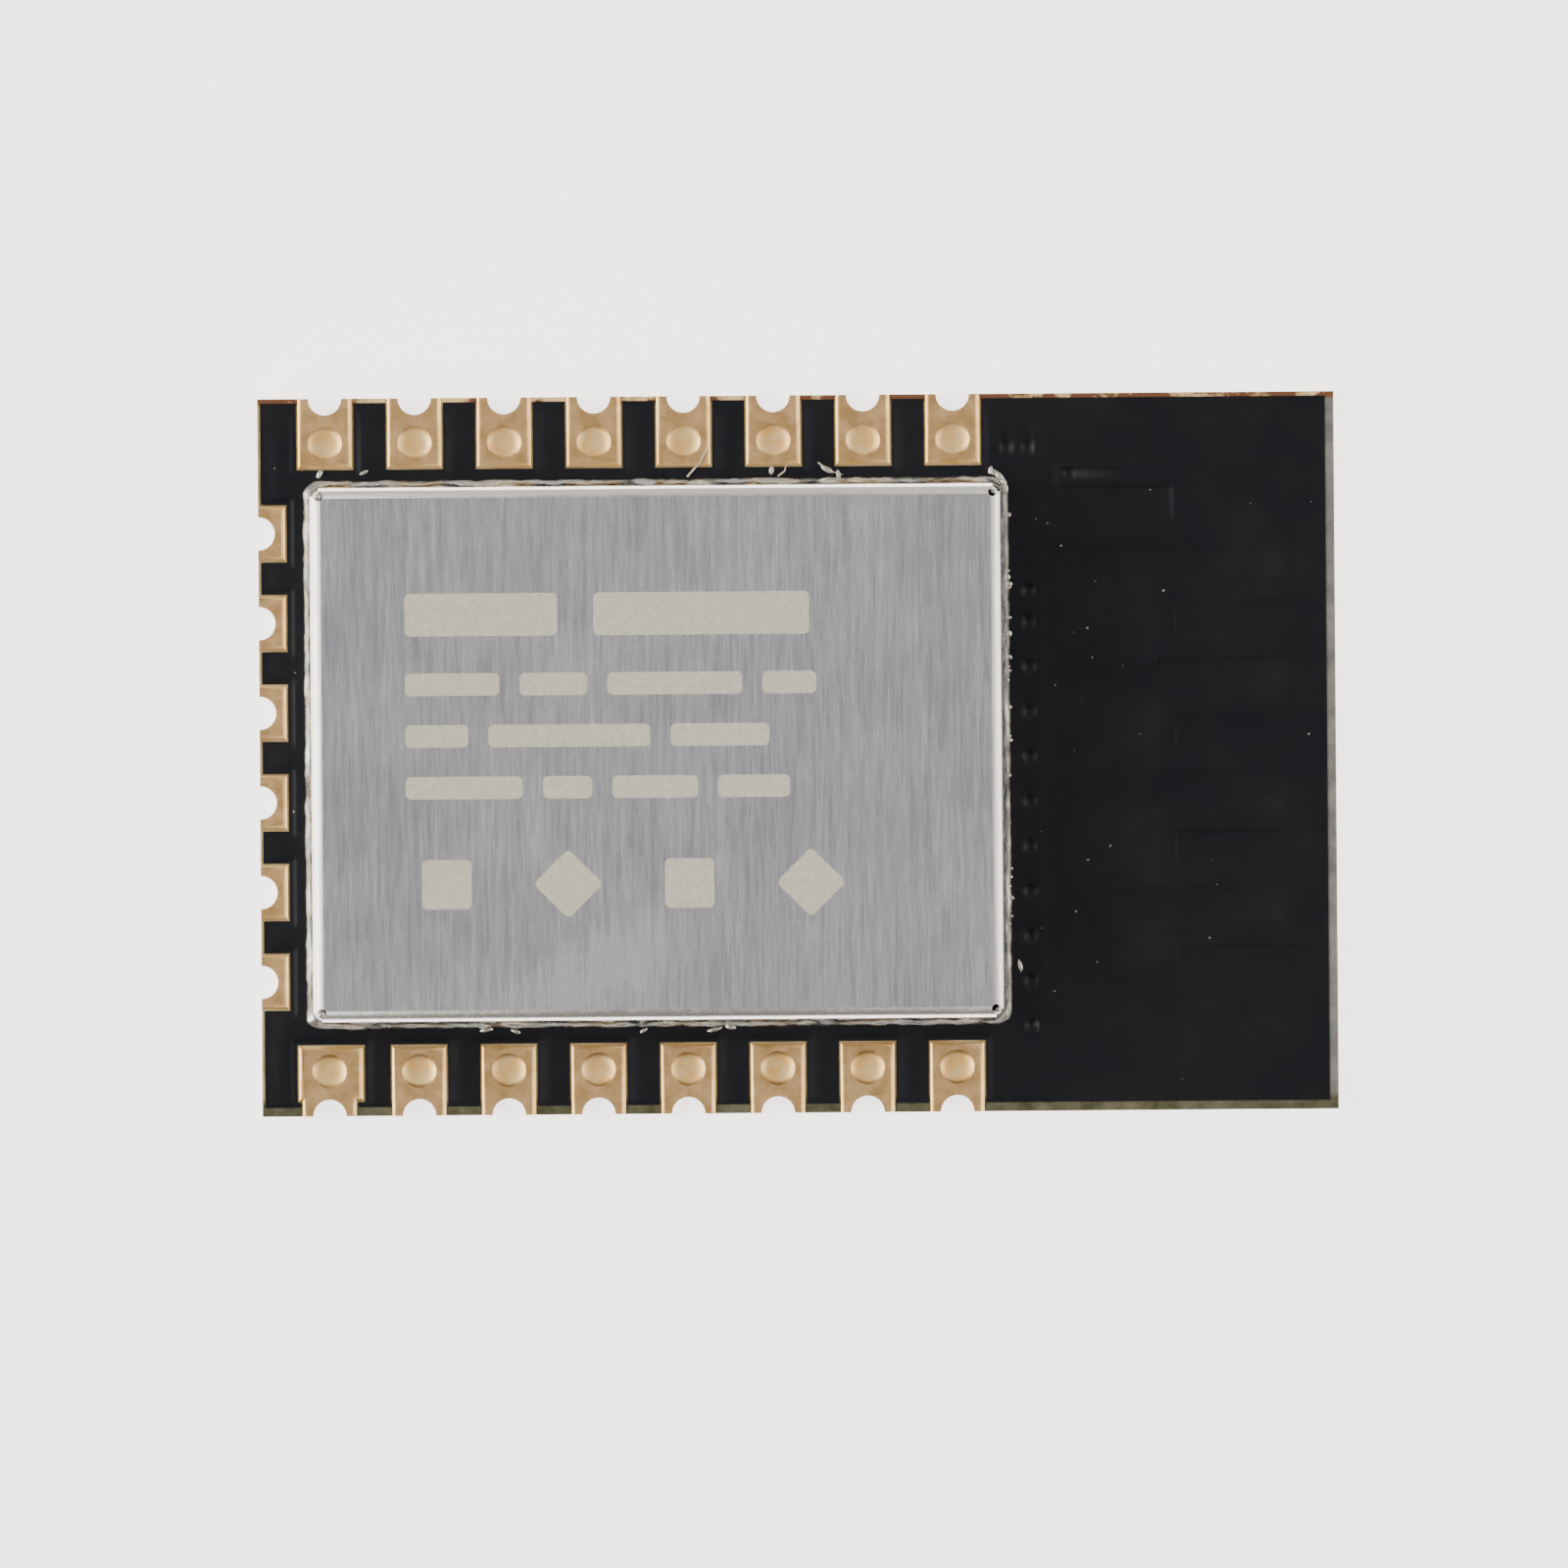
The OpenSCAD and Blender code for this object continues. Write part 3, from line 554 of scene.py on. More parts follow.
# %% [markdown]
# ## Solder round the can
#
# The can stands on a printed ring of solder that melted and crept up its walls. The ring's outline is
# a plane whose corners are bevelled and whose face is deleted. The outline is then extruded
# again and again, each time a little smaller and higher or lower, round the whole section of the
# joint: hollow outside, hidden in the sheet, hollow again inside. Cuts along its length, subdivision
# and a Displace modifier make it uneven, as real paste is.

# %% Sweep the fillets round the can
foil_z = 0.77                    # top of the copper that the ring lies on
fillet_w, ring_corner_r = 0.17, 0.32
cut_step = 0.25                  # distance between the cuts along the ring
ring_half = Vector((can_high.x - can_mid.x + fillet_w, can_high.y - can_mid.y + fillet_w, 0))
#                inwards and upwards from the ring's outer edge
JOINT_SECTION = ((0, 0.03), (0.02, 0.07), (0.06, 0.11), (0.1, 0.15), (0.14, 0.21), (0.17, 0.28),
                 (0.19, 0.28), (0.3, 0.2), (0.37, 0.11), (0.44, 0.03), (0.44, 0))

ring = flat_sheet((can_mid.x, can_mid.y, foil_z), (2 * ring_half.x, 2 * ring_half.y))
edit(ring)
pick("VERT", lambda v: True)
bpy.ops.mesh.bevel(offset=ring_corner_r, segments=5, affect="VERTICES")
pick("FACE", lambda f: True)
bpy.ops.mesh.delete(type="ONLY_FACE")
pick("EDGE", lambda e: True)
last_in, last_up = 0, 0
for inwards, upwards in JOINT_SECTION:
    bpy.ops.mesh.extrude_edges_move(TRANSFORM_OT_translate={"value": (0, 0, upwards - last_up)})
    shrink_x = (ring_half.x - inwards) / (ring_half.x - last_in)
    shrink_y = (ring_half.y - inwards) / (ring_half.y - last_in)
    bpy.ops.transform.resize(value=(shrink_x, shrink_y, 1), center_override=can_mid)
    last_in, last_up = inwards, upwards
pick("EDGE", lambda e: all(v.co.z < foil_z + TINY for v in e.verts))
bpy.ops.mesh.bridge_edge_loops()
for side, reach in ((0, ring_half.x), (1, ring_half.y)):
    for k in range(1, int(2 * reach / cut_step)):
        cut_across(side, can_mid[side] + cut_step * k - reach)
face_outwards()

# %% Draw solder up the corners
FULL, SUNK = 3.02, 2.78          # how high the solder stands in a relief that is filled, or that isn't
post_r, post_out, foot_flare = 0.13, 0.06, 1.6
lump_size, lump_depth = 0.35, 0.09
posts = []
for sx, sy, top in ((-1, -1, FULL), (-1, 1, FULL), (1, -1, SUNK), (1, 1, SUNK)):
    corner = [can_mid[i] + side * (flat_half[i] + post_out) for i, side in enumerate((sx, sy))]
    post = rod((*corner, (foil_z + top) / 2), post_r, top - foil_z, 12)
    edit(post)
    pick("FACE", lambda f: f.normal.z < -0.9)
    bpy.ops.transform.resize(value=(foot_flare, foot_flare, 1))
    everything()
    bpy.ops.mesh.subdivide(number_cuts=3)
    posts.append(post)
solder = join([ring, *posts])
lumps = bpy.data.textures.new("solder_lumps", "CLOUDS")
lumps.noise_scale = lump_size
apply_modifier(solder, "SUBSURF", levels=1, render_levels=1)
apply_modifier(solder, "DISPLACE", texture=lumps, texture_coords="OBJECT", strength=lump_depth,
               mid_level=0.5)
finish_piece(solder, "solder_ring", [solder_metal], ["can_solder"], smooth=60)

# %% [markdown]
# ## Castellated terminals
#
# Each terminal is one piece of plating: a land on top, a half barrel in the board's edge and a land
# underneath. The long-side ones also have a plugged via, capped with a shallow dish. Three masters
# are modelled in their own frame, with the board's edge along X and the board towards +Y, and then
# copied round the board. The land starts as a block whose top face is inset three times to leave a
# rounded rim, the way plating builds up along an edge.

# %% Land with a raised rim
land_w, land_t, board_t = 1.2, 0.05, 0.8
side_land_l, end_land_l = 1.55, 0.6
wide_outer, wide_inner, wide_from = 0.08, 0.15, 0.35    # how the marked land is wider, and from where
RIM = ((0.045, 0), (0.04, -0.014), (0.012, 0))    # insets of the top face, each with its drop
rim_fall = 0.02                                   # how far the land's outer corners are rounded down


def land(length, wide=None):
    """A land on the board's top, with its rim. wide = (outer, inner, from_y) widens it."""
    overrun = 0.2                                 # it runs past the edge and is cut there later
    plate = block((0, (length - overrun) / 2, board_t - land_t / 2),
                  (land_w, length + overrun, land_t))
    edit(plate)
    if wide:
        outer, inner, start = wide
        cut_across(1, start)
        for side, extra in ((-1, outer), (1, inner)):
            pick("FACE", lambda f: f.normal.x * side > 0.9 and middle(f).y > start)
            bpy.ops.mesh.extrude_region_move(
                TRANSFORM_OT_translate={"value": (side * extra, 0, 0)})
    pick("FACE", lambda f: f.normal.z > 0.9)
    for inwards, upwards in RIM:
        bpy.ops.mesh.inset(thickness=inwards)
        bpy.ops.transform.translate(value=(0, 0, upwards))
    pick("VERT", lambda v: v.co.z > board_t - TINY and any(f.normal.z < 0.5 for f in v.link_faces))
    bpy.ops.transform.translate(value=(0, 0, -rim_fall))
    return plate


# %% The whole terminal
notch_r, plating_t = 0.37, 0.05
dish_r, dish_y, dish_depth = 0.41, 1.0, 0.08
DISH = ((0.14, 0.002), (0.21, 0.004), (0.27, 0.007), (0.32, 0.013), (0.36, 0.02), (0.39, 0.025),
        (0.42, 0.2))                     # radius and rise of each ring, from the floor up
dish_floor_r = 0.06
# Within these distances the gold takes its painted highlight.
painted_highlight_r, painted_highlight_rim = 0.34, 0.05          # where the gold is bright: in the dish and along the rim


def dish_cutter(floor_z):
    """A solid bowl that widens upwards from its floor."""
    nothing()
    bpy.ops.mesh.primitive_circle_add(vertices=48, radius=dish_floor_r, fill_type="NGON",
                                      location=(0, dish_y, floor_z))
    bowl = bpy.context.object
    bpy.ops.object.transform_apply()
    edit(bowl)
    everything()
    last = dish_floor_r
    for radius, rise in DISH:
        bpy.ops.mesh.extrude_region_move(TRANSFORM_OT_translate={"value": (0, 0, rise)})
        bpy.ops.transform.resize(value=(radius / last, radius / last, 1),
                                 center_override=(0, dish_y, floor_z))
        last = radius
    face_outwards()
    return bowl


def turned_over(obj):
    """Mirrors a piece to the board's other face."""
    edit(obj)
    everything()
    bpy.ops.transform.resize(value=(1, 1, -1), center_override=(0, 0, board_t / 2))
    face_outwards()
    return obj


def terminal(length, wide=None, plugged=True):
    """Both lands, the half barrel and the plugged via as one solid."""
    body = land(length, wide)
    under = turned_over(copy_of(body))
    combine(body, under, "UNION")
    barrel_h = board_t - 0.04                     # it ends inside both lands
    combine(body, rod((0, 0, board_t / 2), notch_r + plating_t, barrel_h, 64), "UNION")
    if plugged:
        combine(body, rod((0, dish_y, board_t / 2), dish_r, barrel_h), "UNION")
        combine(body, dish_cutter(board_t - dish_depth), "DIFFERENCE")
        combine(body, turned_over(dish_cutter(board_t - dish_depth)), "DIFFERENCE")
    combine(body, rod((0, 0, board_t / 2), notch_r, 2 * board_t, 64), "DIFFERENCE")
    combine(body, block((0, -1, board_t / 2), (4, 2, 2)), "DIFFERENCE")
    # Faces in the dish and along the rim take the paler gold: a painted highlight.
    for material in (gold_satin, gold_painted_highlight):
        body.data.materials.append(material)
    corners = [v.co for v in body.data.vertices]
    for face in body.data.polygons:
        in_dish = plugged and all(
            math.hypot(corners[i].x, corners[i].y - dish_y) < painted_highlight_r for i in face.vertices)
        on_rim = all(abs(corners[i].x) > land_w / 2 - painted_highlight_rim or corners[i].y > length - painted_highlight_rim
                     for i in face.vertices)
        face.material_index = int(in_dish or on_rim)
    return body


side_master = terminal(side_land_l)
end_master = terminal(end_land_l, plugged=False)
marked_master = terminal(side_land_l, wide=(wide_outer, wide_inner, wide_from))
print("masters:", [len(m.data.polygons) for m in (side_master, end_master, marked_master)], "faces")

# %% Copy the terminals round the board
marked_node = "terminal_15"
for node in sorted(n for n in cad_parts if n.startswith("terminal_")):
    low, high = box_mm(node)
    centre = (low + high) / 2
    if node == marked_node:
        master, at, turn = marked_master, (low.x + wide_outer + land_w / 2, board_low.y, 0), 0
    elif high.x < board_low.x + land_w:
        master, at, turn = end_master, (board_low.x, centre.y, 0), -90
    else:
        back = centre.y > 0
        master = side_master
        at, turn = (centre.x, board_high.y if back else board_low.y, 0), 180 if back else 0
    piece = copy_of(master)
    piece.location = at
    piece.rotation_euler.z = math.radians(turn)
    finish_piece(piece, node.replace("terminal", "plated_terminal"), [], [node])
for master in (side_master, end_master, marked_master):
    bpy.data.objects.remove(master)

# %% [markdown]
# ## Solder mask that follows the copper
#
# Liquid mask ink lies thinner than paint, so the copper under it still shows as a low step with soft
# flanks, and it sags a little into each small via. The mask is a plane that is bisected along every
# window and every copper edge. Faces inside windows are deleted, and what lies over copper is lifted.
# Long straight cuts give clean flanks with few faces, where an even fine grid would need thousands more.

# %% Places of windows, copper and vias
core_top, core_bottom = board_high.z, board_low.z
foil_t, mask_t = 0.02, 0.025
flank_in, flank_out = 0.03, 0.09         # how far a step's flank runs inside and outside the copper's edge
past_edge = 0.5                          # how far a window is carried out past the board's edge
track_w, plane_gap = 0.5, 0.2            # width of a track, and the pour's distance from a land


def grown(rect, by):
    """A rectangle (x0, y0, x1, y1) grown on all sides."""
    return (rect[0] - by, rect[1] - by, rect[2] + by, rect[3] + by)


def inside(rect, x, y):
    """Whether a place lies inside a rectangle."""
    return rect[0] < x < rect[2] and rect[1] < y < rect[3]


def land_rects():
    """The outline of each land, carried out past the board's edge."""
    rects = []
    for node in sorted(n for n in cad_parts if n.startswith("terminal_")):
        low, high = box_mm(node)
        if node == marked_node:
            rects.append((low.x, low.y + wide_from, high.x, high.y))
            low.x, high.x = low.x + wide_outer, high.x - wide_inner
        x0 = low.x - past_edge if low.x < board_low.x + TINY else low.x
        y0 = low.y - past_edge if low.y < board_low.y + TINY else low.y
        y1 = high.y + past_edge if high.y > board_high.y - TINY else high.y
        rects.append((x0, y0, high.x, y1))
    return rects


def stretch(x0, y0, x1, y1):
    """The outline of a straight track, with its ends."""
    return grown((min(x0, x1), min(y0, y1), max(x0, x1), max(y0, y1)), track_w / 2)


antenna_low, antenna_high = box_mm("antenna")
plane_low, plane_high = box_mm("ground_plane")
lands = land_rects()
run_pitch, runs, run_l = 1.28, 8, 2.85
outer_x = antenna_high.x - track_w / 2
inner_x = outer_x - run_l
feed_x, feed_y = 6.1, antenna_high.y - track_w / 2
first_y = feed_y - 1.3
tap_x = inner_x + 0.5
tracks = [stretch(plane_high.x, first_y, outer_x, first_y),
          stretch(feed_x, feed_y, tap_x, feed_y), stretch(tap_x, feed_y, tap_x, first_y)]
for i in range(1, runs):
    y = first_y - i * run_pitch
    turn_x = outer_x if i % 2 else inner_x
    tracks.append(stretch(inner_x, y, outer_x, y))
    tracks.append(stretch(turn_x, y + run_pitch, turn_x, y))
tracks.append(stretch(inner_x, y, inner_x, antenna_low.y + track_w / 2))
via_x = plane_high.x - 0.33
vias = [(via_x, y) for y in (3.6, *(2.9 - i for i in range(10)))]
vias += [(plane_high.x - 0.8, 6.8), (via_x, 6.8), (feed_x, feed_y)]
via_dip_r, via_dip = 0.17, 0.05
plane_rect = (plane_low.x, plane_low.y, plane_high.x, plane_high.y)
gaps = [grown(r, plane_gap) for r in lands]
parts_area = grown((can_low.x, can_low.y, can_high.x, can_high.y), -0.5)
print(len(lands), "windows,", len(tracks), "stretches of track,", len(vias), "vias")


# %% Height of the mask's face
def share(rect, x, y):
    """1 inside an outline, falling to 0 over the flank outside it."""
    off = math.hypot(max(rect[0] - x, 0, x - rect[2]), max(rect[1] - y, 0, y - rect[3]))
    t = min(1, max(0, 1 - (off + flank_in) / (flank_in + flank_out)))
    return 1.0 if off == 0 and inside(grown(rect, -flank_in), x, y) else t * t * (3 - 2 * t)


def lift(x, y, tracks, holes):
    """Height of the mask's face over its lowest level, in mm."""
    over = max(share(r, x, y) for r in tracks)
    plane = share(plane_rect, x, y)
    for hole in holes:
        if inside(hole, x, y):
            depth = min(x - hole[0], hole[2] - x, y - hole[1], hole[3] - y)
            plane = min(plane, 1 - min(1, depth / flank_out))
    height = foil_t * max(over, plane)
    for via in vias:
        r = math.hypot(x - via[0], y - via[1])
        if r < via_dip_r:
            height -= via_dip * (1 - (r / via_dip_r) ** 2)
    return height


# %% Mask sheet
bare_left, bare_front, bare_right, bare_back = 0.06, 0.2, 0.2, 0.1    # widths of the bare strips


def cut_lines(rects, offsets):
    """The x and y places at which rectangles' edges, moved out by each offset, are cut."""
    xs, ys = set(), set()
    for rect in rects:
        for by in offsets:
            x0, y0, x1, y1 = grown(rect, by)
            xs |= {round(x0, 3), round(x1, 3)}
            ys |= {round(y0, 3), round(y1, 3)}
    return xs, ys


def mask_sheet(windows, tracks, holes, up):
    """One face's mask, modelled face up at z = 0."""
    x0, y0 = board_low.x + bare_left, board_low.y + bare_front
    x1, y1 = board_high.x - bare_right, board_high.y - bare_back
    sheet = flat_sheet(((x0 + x1) / 2, (y0 + y1) / 2, 0), (x1 - x0, y1 - y0))
    edit(sheet)
    via_rects = [grown((*v, *v), via_dip_r + 0.01) for v in vias]
    xs, ys = set(), set()
    for rects, offsets in ((windows, (0,)), (tracks, (-flank_in, flank_out)), (via_rects, (0,)),
                           (holes, (0, -flank_out)), ([plane_rect], (-flank_in, flank_out))):
        more_x, more_y = cut_lines(rects, offsets)
        xs, ys = xs | more_x, ys | more_y
    for axis, places in ((0, xs), (1, ys)):
        for place in sorted(places):
            cut_across(axis, place)
    pick("FACE", lambda f: any(inside(w, *middle(f).to_2d()) for w in windows))
    bpy.ops.mesh.delete(type="FACE")
    pick("FACE", lambda f: any(inside(r, *middle(f).to_2d()) for r in via_rects))
    bpy.ops.mesh.subdivide(number_cuts=3)
    mesh = bmesh.from_edit_mesh(sheet.data)
    for vertex in mesh.verts:
        vertex.co.z = lift(vertex.co.x, vertex.co.y, tracks, holes) + mask_t
    bmesh.update_edit_mesh(sheet.data)
    apply_modifier(sheet, "SOLIDIFY", thickness=mask_t, offset=-1)
    if up:
        sheet.location.z = core_top
    else:
        sheet.scale.z = -1
        sheet.location.z = core_bottom
    bpy.ops.object.transform_apply()
    edit(sheet)
    face_outwards()
    return sheet


# %% Mask on both faces
window_gap, ring_gap = 0.04, 0.08        # from a land, and from the can's foot, to the mask
land_windows = [grown(r, window_gap) for r in lands]
x0, y0, x1, y1 = grown((can_low.x, can_low.y, can_high.x, can_high.y), ring_gap)
w, corner = 0.33, 0.15                   # width of the ring's window, and its cut-off corners
ring_windows = [(x0 + corner, y0, x1 - corner, y0 + w), (x0 + corner, y1 - w, x1 - corner, y1),
                (x0, y0 + corner, x0 + w, y1 - corner), (x1 - w, y0 + corner, x1, y1 - corner)]
mask = mask_sheet(land_windows + ring_windows, tracks, gaps + [parts_area], up=True)
finish_piece(mask, "mask_face_top", [mask_ink], ["mask_top"], smooth=50)
feed_pad = [stretch(feed_x, feed_y, feed_x, feed_y)]
mask = mask_sheet(land_windows, feed_pad, gaps, up=False)
finish_piece(mask, "mask_face_bottom", [mask_ink], ["mask_bottom"], smooth=50)

# %% [markdown]
# ## Marks etched into the can
#
# A maker etches its marks into the can's face. Here that place carries a plain pattern that names
# nobody: long blocks for headings, rows of small blocks that stand for words, and squares turned
# on edge. Each block is a plane with bevelled corners, extruded by a few micrometres.

# %% Plain etched blocks
etch_t = 0.004
word_h, word_gap, left_x = 0.5, 0.45, -5.6
square_side, square_y = 1.1, -2.9
#         x     y   width height, from the can's middle, in mm
HEADING = ((-3.9, 3.1, 3.4, 0.95), (1.0, 3.1, 4.8, 0.95))
WORDS = ((1.55, (2.1, 1.5, 3.0, 1.2)), (0.4, (1.4, 3.6, 2.2)), (-0.75, (2.6, 1.1, 1.9, 1.6)))
SQUARES = (-4.7, -2.0, 0.7, 3.4)


def plate(x, y, width, height, corner=0.12, turn=0):
    """A thin rounded plate on the can's face."""
    slab = flat_sheet((0, 0, can_high.z), (width, height))
    edit(slab)
    pick("VERT", lambda v: True)
    bpy.ops.mesh.bevel(offset=corner, segments=4, affect="VERTICES")
    pick("FACE", lambda f: True)
    bpy.ops.mesh.extrude_region_move(TRANSFORM_OT_translate={"value": (0, 0, etch_t)})
    only(slab)
    slab.rotation_euler.z = math.radians(turn)
    slab.location = (can_mid.x + x, can_mid.y + y, 0)
    bpy.ops.object.transform_apply()
    return slab


marks = [plate(*block_at) for block_at in HEADING]
for row_y, lengths in WORDS:
    x = left_x
    for length in lengths:
        marks.append(plate(x + length / 2, row_y, length, word_h))
        x += length + word_gap
for i, x in enumerate(SQUARES):
    marks.append(plate(x, square_y, square_side, square_side, turn=45 if i % 2 else 0))
finish_piece(join(marks), "etched_marks", [etched_metal])

# %% [markdown]
# ## Spatter and dust
#
# Hand soldering leaves its traces: beads and torn flakes along the can's foot, a few metal whiskers, and
# pale dust on the black mask. Each is a small icosphere, squashed and turned at random from a
# fixed seed, so that every run gives the same ones. Whiskers are cones that are laid down and kinked
# in the middle. The metal is joined into one piece and the dust into another.

# %% Helpers for flakes and whiskers
seeded = random.Random(7)
mask_top_z = core_top + foil_t + mask_t


def flake(x, y, length, width, turn, height=None, lift_by=0.0):
    """A squashed lump that lies on the mask, its long side turned by some degrees."""
    height = height or width * 0.6
    nothing()
    bpy.ops.mesh.primitive_ico_sphere_add(
        subdivisions=2, radius=0.5, location=(x, y, mask_top_z + lift_by + height * 0.35),
        rotation=(0, 0, math.radians(turn)))
    lump = bpy.context.object
    lump.scale = (length, width, height)
    bpy.ops.object.transform_apply()
    edit(lump)
    mesh = bmesh.from_edit_mesh(lump.data)
    centre = Vector((x, y, mask_top_z + lift_by))
    for vertex in mesh.verts:
        vertex.co = centre + (vertex.co - centre) * seeded.uniform(0.88, 1.1)
    bmesh.update_edit_mesh(lump.data)
    only(lump)
    return lump


def whisker(x0, y0, x1, y1, thick=0.035, z=None, kink=0.06):
    """A tapered sliver of metal from one place to another, kinked in the middle."""
    z = mask_top_z + 0.03 if z is None else z
    start, end = Vector((x0, y0, z)), Vector((x1, y1, z + 0.08))
    run = end - start
    nothing()
    bpy.ops.mesh.primitive_cone_add(vertices=6, radius1=thick, radius2=thick * 0.3,
                                    depth=run.length, location=(start + end) / 2,
                                    rotation=run.to_track_quat("Z", "Y").to_euler())
    bpy.ops.object.transform_apply()
    sliver = bpy.context.object
    edit(sliver)
    everything()
    bpy.ops.mesh.bisect(plane_co=(start + end) / 2, plane_no=run)
    pick("VERT", lambda v: abs((v.co - (start + end) / 2).dot(run)) < TINY)
    bpy.ops.transform.translate(value=run.cross(UP).normalized() * kink)
    only(sliver)
    return sliver


# %% Place the spatter and the dust
#          x      y    length width turn, in mm and degrees
FLAKES = ((-10.62, 6.32, 0.22, 0.14, 60), (-9.63, 6.35, 0.22, 0.08, 30), (-0.54, 6.33, 0.2, 0.12, 80),
          (0.70, 6.34, 0.34, 0.13, 150), (0.95, 6.24, 0.22, 0.1, 100), (4.92, -4.76, 0.3, 0.11, 100),
          (-7.0, -6.1, 0.3, 0.1, 10), (-6.34, -6.14, 0.24, 0.1, 160), (-3.49, -6.14, 0.2, 0.09, 30),
          (-1.9, -6.13, 0.36, 0.1, 15), (-1.55, -6.08, 0.26, 0.12, 170))
#        a torn curl of solder that hugs the can's corner
CURL = ((4.34, 6.30, 0.2, 0.1, 70), (4.42, 6.24, 0.24, 0.13, -20), (4.54, 6.16, 0.26, 0.14, -45),
        (4.63, 6.03, 0.26, 0.14, -65), (4.68, 5.87, 0.26, 0.12, -85))
DUST = ((6.47, 2.76), (6.58, 2.10), (5.75, 1.49), (11.40, 0.36), (9.15, -4.17), (6.45, -2.41),
        (6.95, -2.10), (6.17, -3.56), (6.63, -4.69), (5.68, -5.33), (7.90, 5.83), (-11.62, 6.46),
        (8.18, 3.58), (5.35, 5.2), (5.6, 5.1), (5.9, 4.6), (-11.2, 1.9), (-11.25, -1.2))
spatter = [flake(*place_at) for place_at in FLAKES]
spatter += [flake(*place_at, lift_by=0.15) for place_at in CURL]
spatter += [whisker(-2.42, 6.2, -1.92, 6.95), whisker(0.5, 6.5, 1.05, 6.22, 0.03),
            whisker(-0.4, 6.2, -0.2, 6.48, 0.03)]
foot_x, bead_count, speck_count = can_high.x + 0.12, 26, 14
for _ in range(bead_count):
    size = seeded.uniform(0.07, 0.16)
    spatter.append(flake(foot_x + seeded.uniform(-0.02, 0.06), seeded.uniform(-5.2, 5.5), size,
                         size * 0.8, seeded.uniform(0, 180), lift_by=0.02))
finish_piece(join(spatter), "solder_spatter", [solder_metal], smooth=60)

specks = []
for x, y in DUST:
    size = seeded.uniform(0.045, 0.075)
    specks.append(flake(x, y, size, size * 0.7, seeded.uniform(0, 180)))
for _ in range(speck_count):
    size = seeded.uniform(0.02, 0.035)
    specks.append(flake(seeded.uniform(5.2, 11.6), seeded.uniform(-7.4, 7.4), size, size * 0.8,
                        seeded.uniform(0, 180)))
finish_piece(join(specks), "lint_specks", [lint])

# %% [markdown]
# ## What lies inside the can, and the CAD nodes that stay
#
# Nobody sees the radio chip while the can is on, but the model can be opened, so each hidden part gets
# its own material too: moulding compound with its fine matt grain, tin on the leads, ceramic
# tubs and chip parts whose two ends are tinned. Ends are found with a Mapping node that centres the
# pattern on the part.

# %% Materials of the inner parts
moulding = grainy("epoxy_moulding_compound", "#1B1B1D", "#2C2C2E", 0.06, Roughness=0.6)
tin = grainy("tin_plate", "#B5B4AF", "#DAD9D4", 0.15, Roughness=0.35, Metallic=1.0)
tub = grainy("fired_alumina_tub", "#3A2F28", "#4C3E34", 0.1, Roughness=0.5)
lid = grainy("gold_plated_alloy_lid", "#C7B58A", "#DCCBA0", 0.3, Roughness=0.3, Metallic=1.0)


tinned_from = 0.25        # from a chip part's middle to its tinned ends, in mm


def chip_part(node, dark, light):
    """A fired body with tinned ends, centred on the node by a Mapping node."""
    low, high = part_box(node)
    centre, size = (low + high) / 2, high - low
    axis = "X" if size.x > size.y else "Y"
    material = grainy(f"fired_body_{node}", dark, light, 0.05, Roughness=0.4)
    tree = material.node_tree
    shader = tree.nodes["Principled BSDF"]
    place = tree.nodes["Texture Coordinate"].outputs["Object"]
    body_colour = shader.inputs["Base Color"].links[0].from_socket
    centred = add(tree, "ShaderNodeMapping", {"Vector": place}, {"Location": -centre})
    split = add(tree, "ShaderNodeSeparateXYZ", {"Vector": centred.outputs[0]})
    off = add(tree, "ShaderNodeMath", {0: split.outputs[axis]}, operation="ABSOLUTE")
    end = add(tree, "ShaderNodeMath", {0: off.outputs[0]}, {1: tinned_from * MM},
              operation="GREATER_THAN")
    ends = add(tree, "ShaderNodeMix", {0: end.outputs[0], COLOUR_A: body_colour},
               {COLOUR_B: paint("#D4D3CE")}, data_type="RGBA")
    feed(tree, ends, "Base Color")
    feed(tree, end, "Metallic")
    return material


# %% Dress the nodes that keep their own shape
NODE_LOOKS = {"laminate": laminate_edge, "ground_plane": copper_plate, "antenna": copper_plate,
              "component_lands": gold_satin, "component_solder": solder_metal,
              "radio_chip": moulding, "flash_chip": moulding, "radio_chip_leads": tin,
              "flash_leads": tin, "crystal_base": tub, "crystal_lid": lid}
BODY_TONES = {"capacitor": ("#8A6F55", "#A98C6D"), "resistor": ("#17171A", "#25252A"),
              "inductor": ("#5A6468", "#717C80")}
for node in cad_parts:
    family = node.rsplit("_", 1)[0]
    if family in BODY_TONES:
        NODE_LOOKS[node] = chip_part(node, *BODY_TONES[family])
for node, material in NODE_LOOKS.items():
    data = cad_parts[node].data
    data.materials.clear()
    data.materials.append(material)
print(len(NODE_LOOKS), "CAD nodes dressed")

# %% [markdown]
# ## Floor, light and camera
#
# The module lies on a plain pale floor. The metal mostly mirrors what is round it, so the lights are
# large and soft: a bright patch of sky on the left fills the can's left fold, a weaker one faces it
# from the right, and the rest of the sky is dim and even, so that the flat face stays grey.

# %% Floor
floor_size, floor_glow = 1.2, 2.4
bpy.ops.mesh.primitive_plane_add(size=floor_size, location=(0, 0, 0))
floor = bpy.context.object
floor.name = "floor"
floor_paper, tree, shader, place = new_material("pale_paper", Roughness=0.9)
shader.inputs["Base Color"].default_value = paint("#F4F3F1")
shader.inputs["Emission Color"].default_value = paint("#FFFFFF")
shader.inputs["Emission Strength"].default_value = floor_glow
floor.data.materials.append(floor_paper)


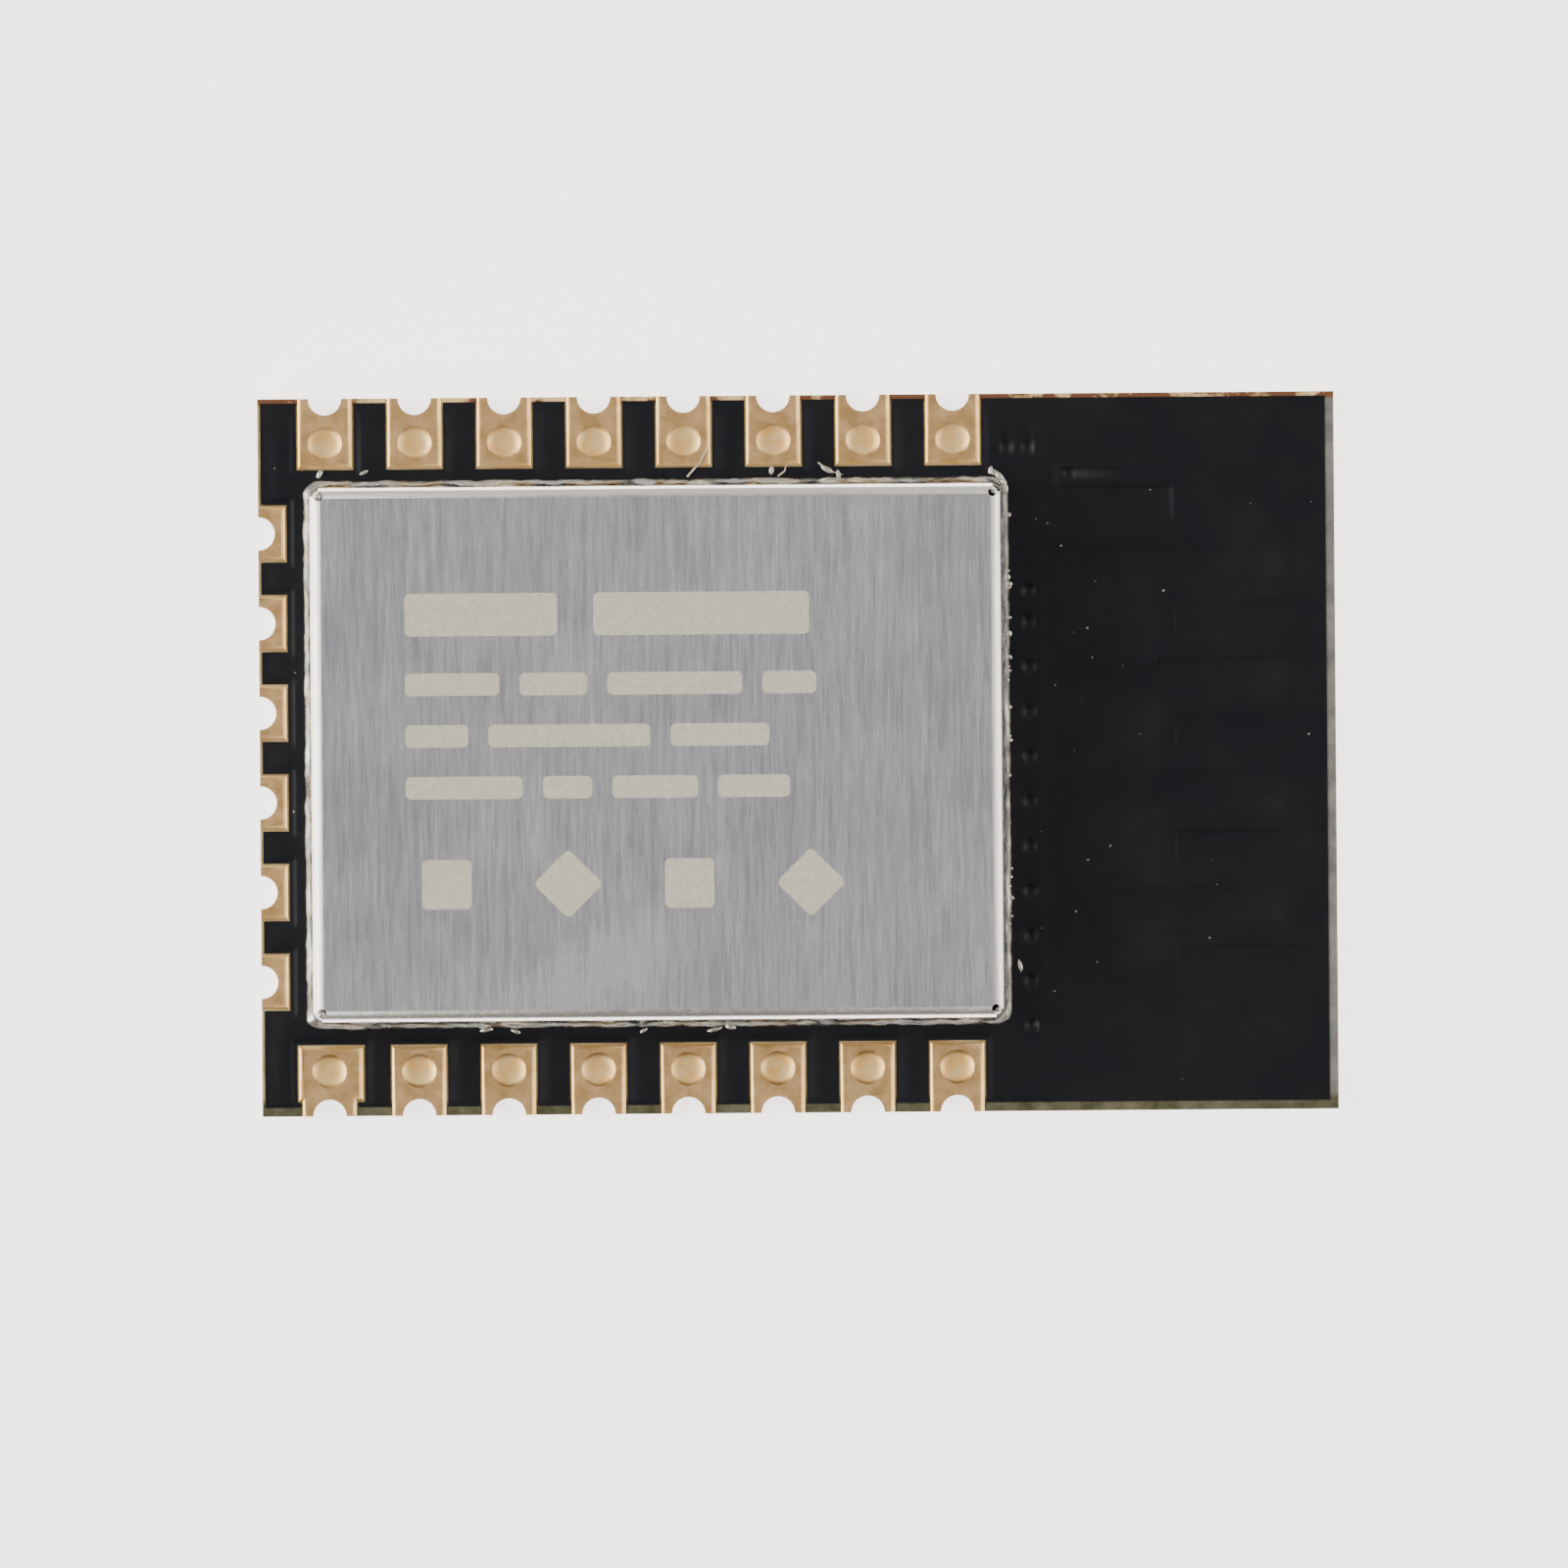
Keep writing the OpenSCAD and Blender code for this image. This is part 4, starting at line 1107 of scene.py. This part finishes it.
# %% Lights
def softbox(name, at, size, power, tint="#FFFFFF"):
    """A rectangular area light that faces the module."""
    bpy.ops.object.light_add(type="AREA", location=at)
    lamp = bpy.context.object
    lamp.name = name
    lamp.data.shape = "RECTANGLE"
    lamp.data.size, lamp.data.size_y = size
    lamp.data.energy = power
    lamp.data.color = paint(tint)[:3]
    lamp.rotation_euler = (-Vector(at)).to_track_quat("-Z", "Y").to_euler()
    return lamp


softbox("left_light", (-0.30, 0.0, 0.16), (0.35, 0.16), 0.6)
softbox("right_light", (0.32, 0.03, 0.18), (0.30, 0.12), 0.3)

# %% A dim sky with a few bright and dark patches
world = bpy.data.worlds.new("studio_sky")
bpy.context.scene.world = world
world.use_nodes = True
tree = world.node_tree
view_ray = add(tree, "ShaderNodeTexCoord").outputs["Generated"]
sky_base = 0.46
#               towards, how near to its middle the patch starts and is full (1 is there), strength
SKY_PATCHES = (((-0.77, 0.0, 0.64), 0.78, 0.91, 3.0), ((0.77, 0.0, 0.64), 0.82, 0.92, 1.4),
               ((0.0, 0.8, 0.6), 0.78, 0.95, 0.3), ((0.0, -0.7, 0.7), 0.76, 0.9, -0.28))
total = add(tree, "ShaderNodeValue").outputs[0]
total.default_value = sky_base
for towards, start, full, strength in SKY_PATCHES:
    near = add(tree, "ShaderNodeVectorMath", {0: view_ray}, {1: towards}, operation="DOT_PRODUCT")
    patch = add(tree, "ShaderNodeMapRange", {"Value": near.outputs["Value"]},
                {"From Min": start, "From Max": full, "To Max": strength},
                interpolation_type="SMOOTHSTEP")
    total = add(tree, "ShaderNodeMath", {0: total, 1: patch.outputs[0]}).outputs[0]
tree.links.new(total, tree.nodes["Background"].inputs["Strength"])
height = add(tree, "ShaderNodeSeparateXYZ", {"Vector": view_ray}).outputs["Z"]
overhead = add(tree, "ShaderNodeMapRange", {"Value": height},
               {"From Min": 0.85, "From Max": 0.98}, interpolation_type="SMOOTHSTEP")
tint = add(tree, "ShaderNodeMix", {0: overhead.outputs[0]},
           {COLOUR_A: paint("#FFF8EE"), COLOUR_B: paint("#F6F6FF")}, data_type="RGBA")
tree.links.new(tint.outputs[COLOUR_OUT], tree.nodes["Background"].inputs["Color"])

# %% Camera straight above
eye_height = 0.8
frame_width = 35.0 * MM
aim = Vector((-0.317, -0.667, 0)) * MM
bpy.ops.object.camera_add(location=(aim.x, aim.y, eye_height))
camera = bpy.context.object
camera.rotation_euler = (0, 0, math.radians(-0.45))
camera.data.sensor_width = 36
camera.data.lens = 36 * eye_height / frame_width
bpy.context.scene.camera = camera
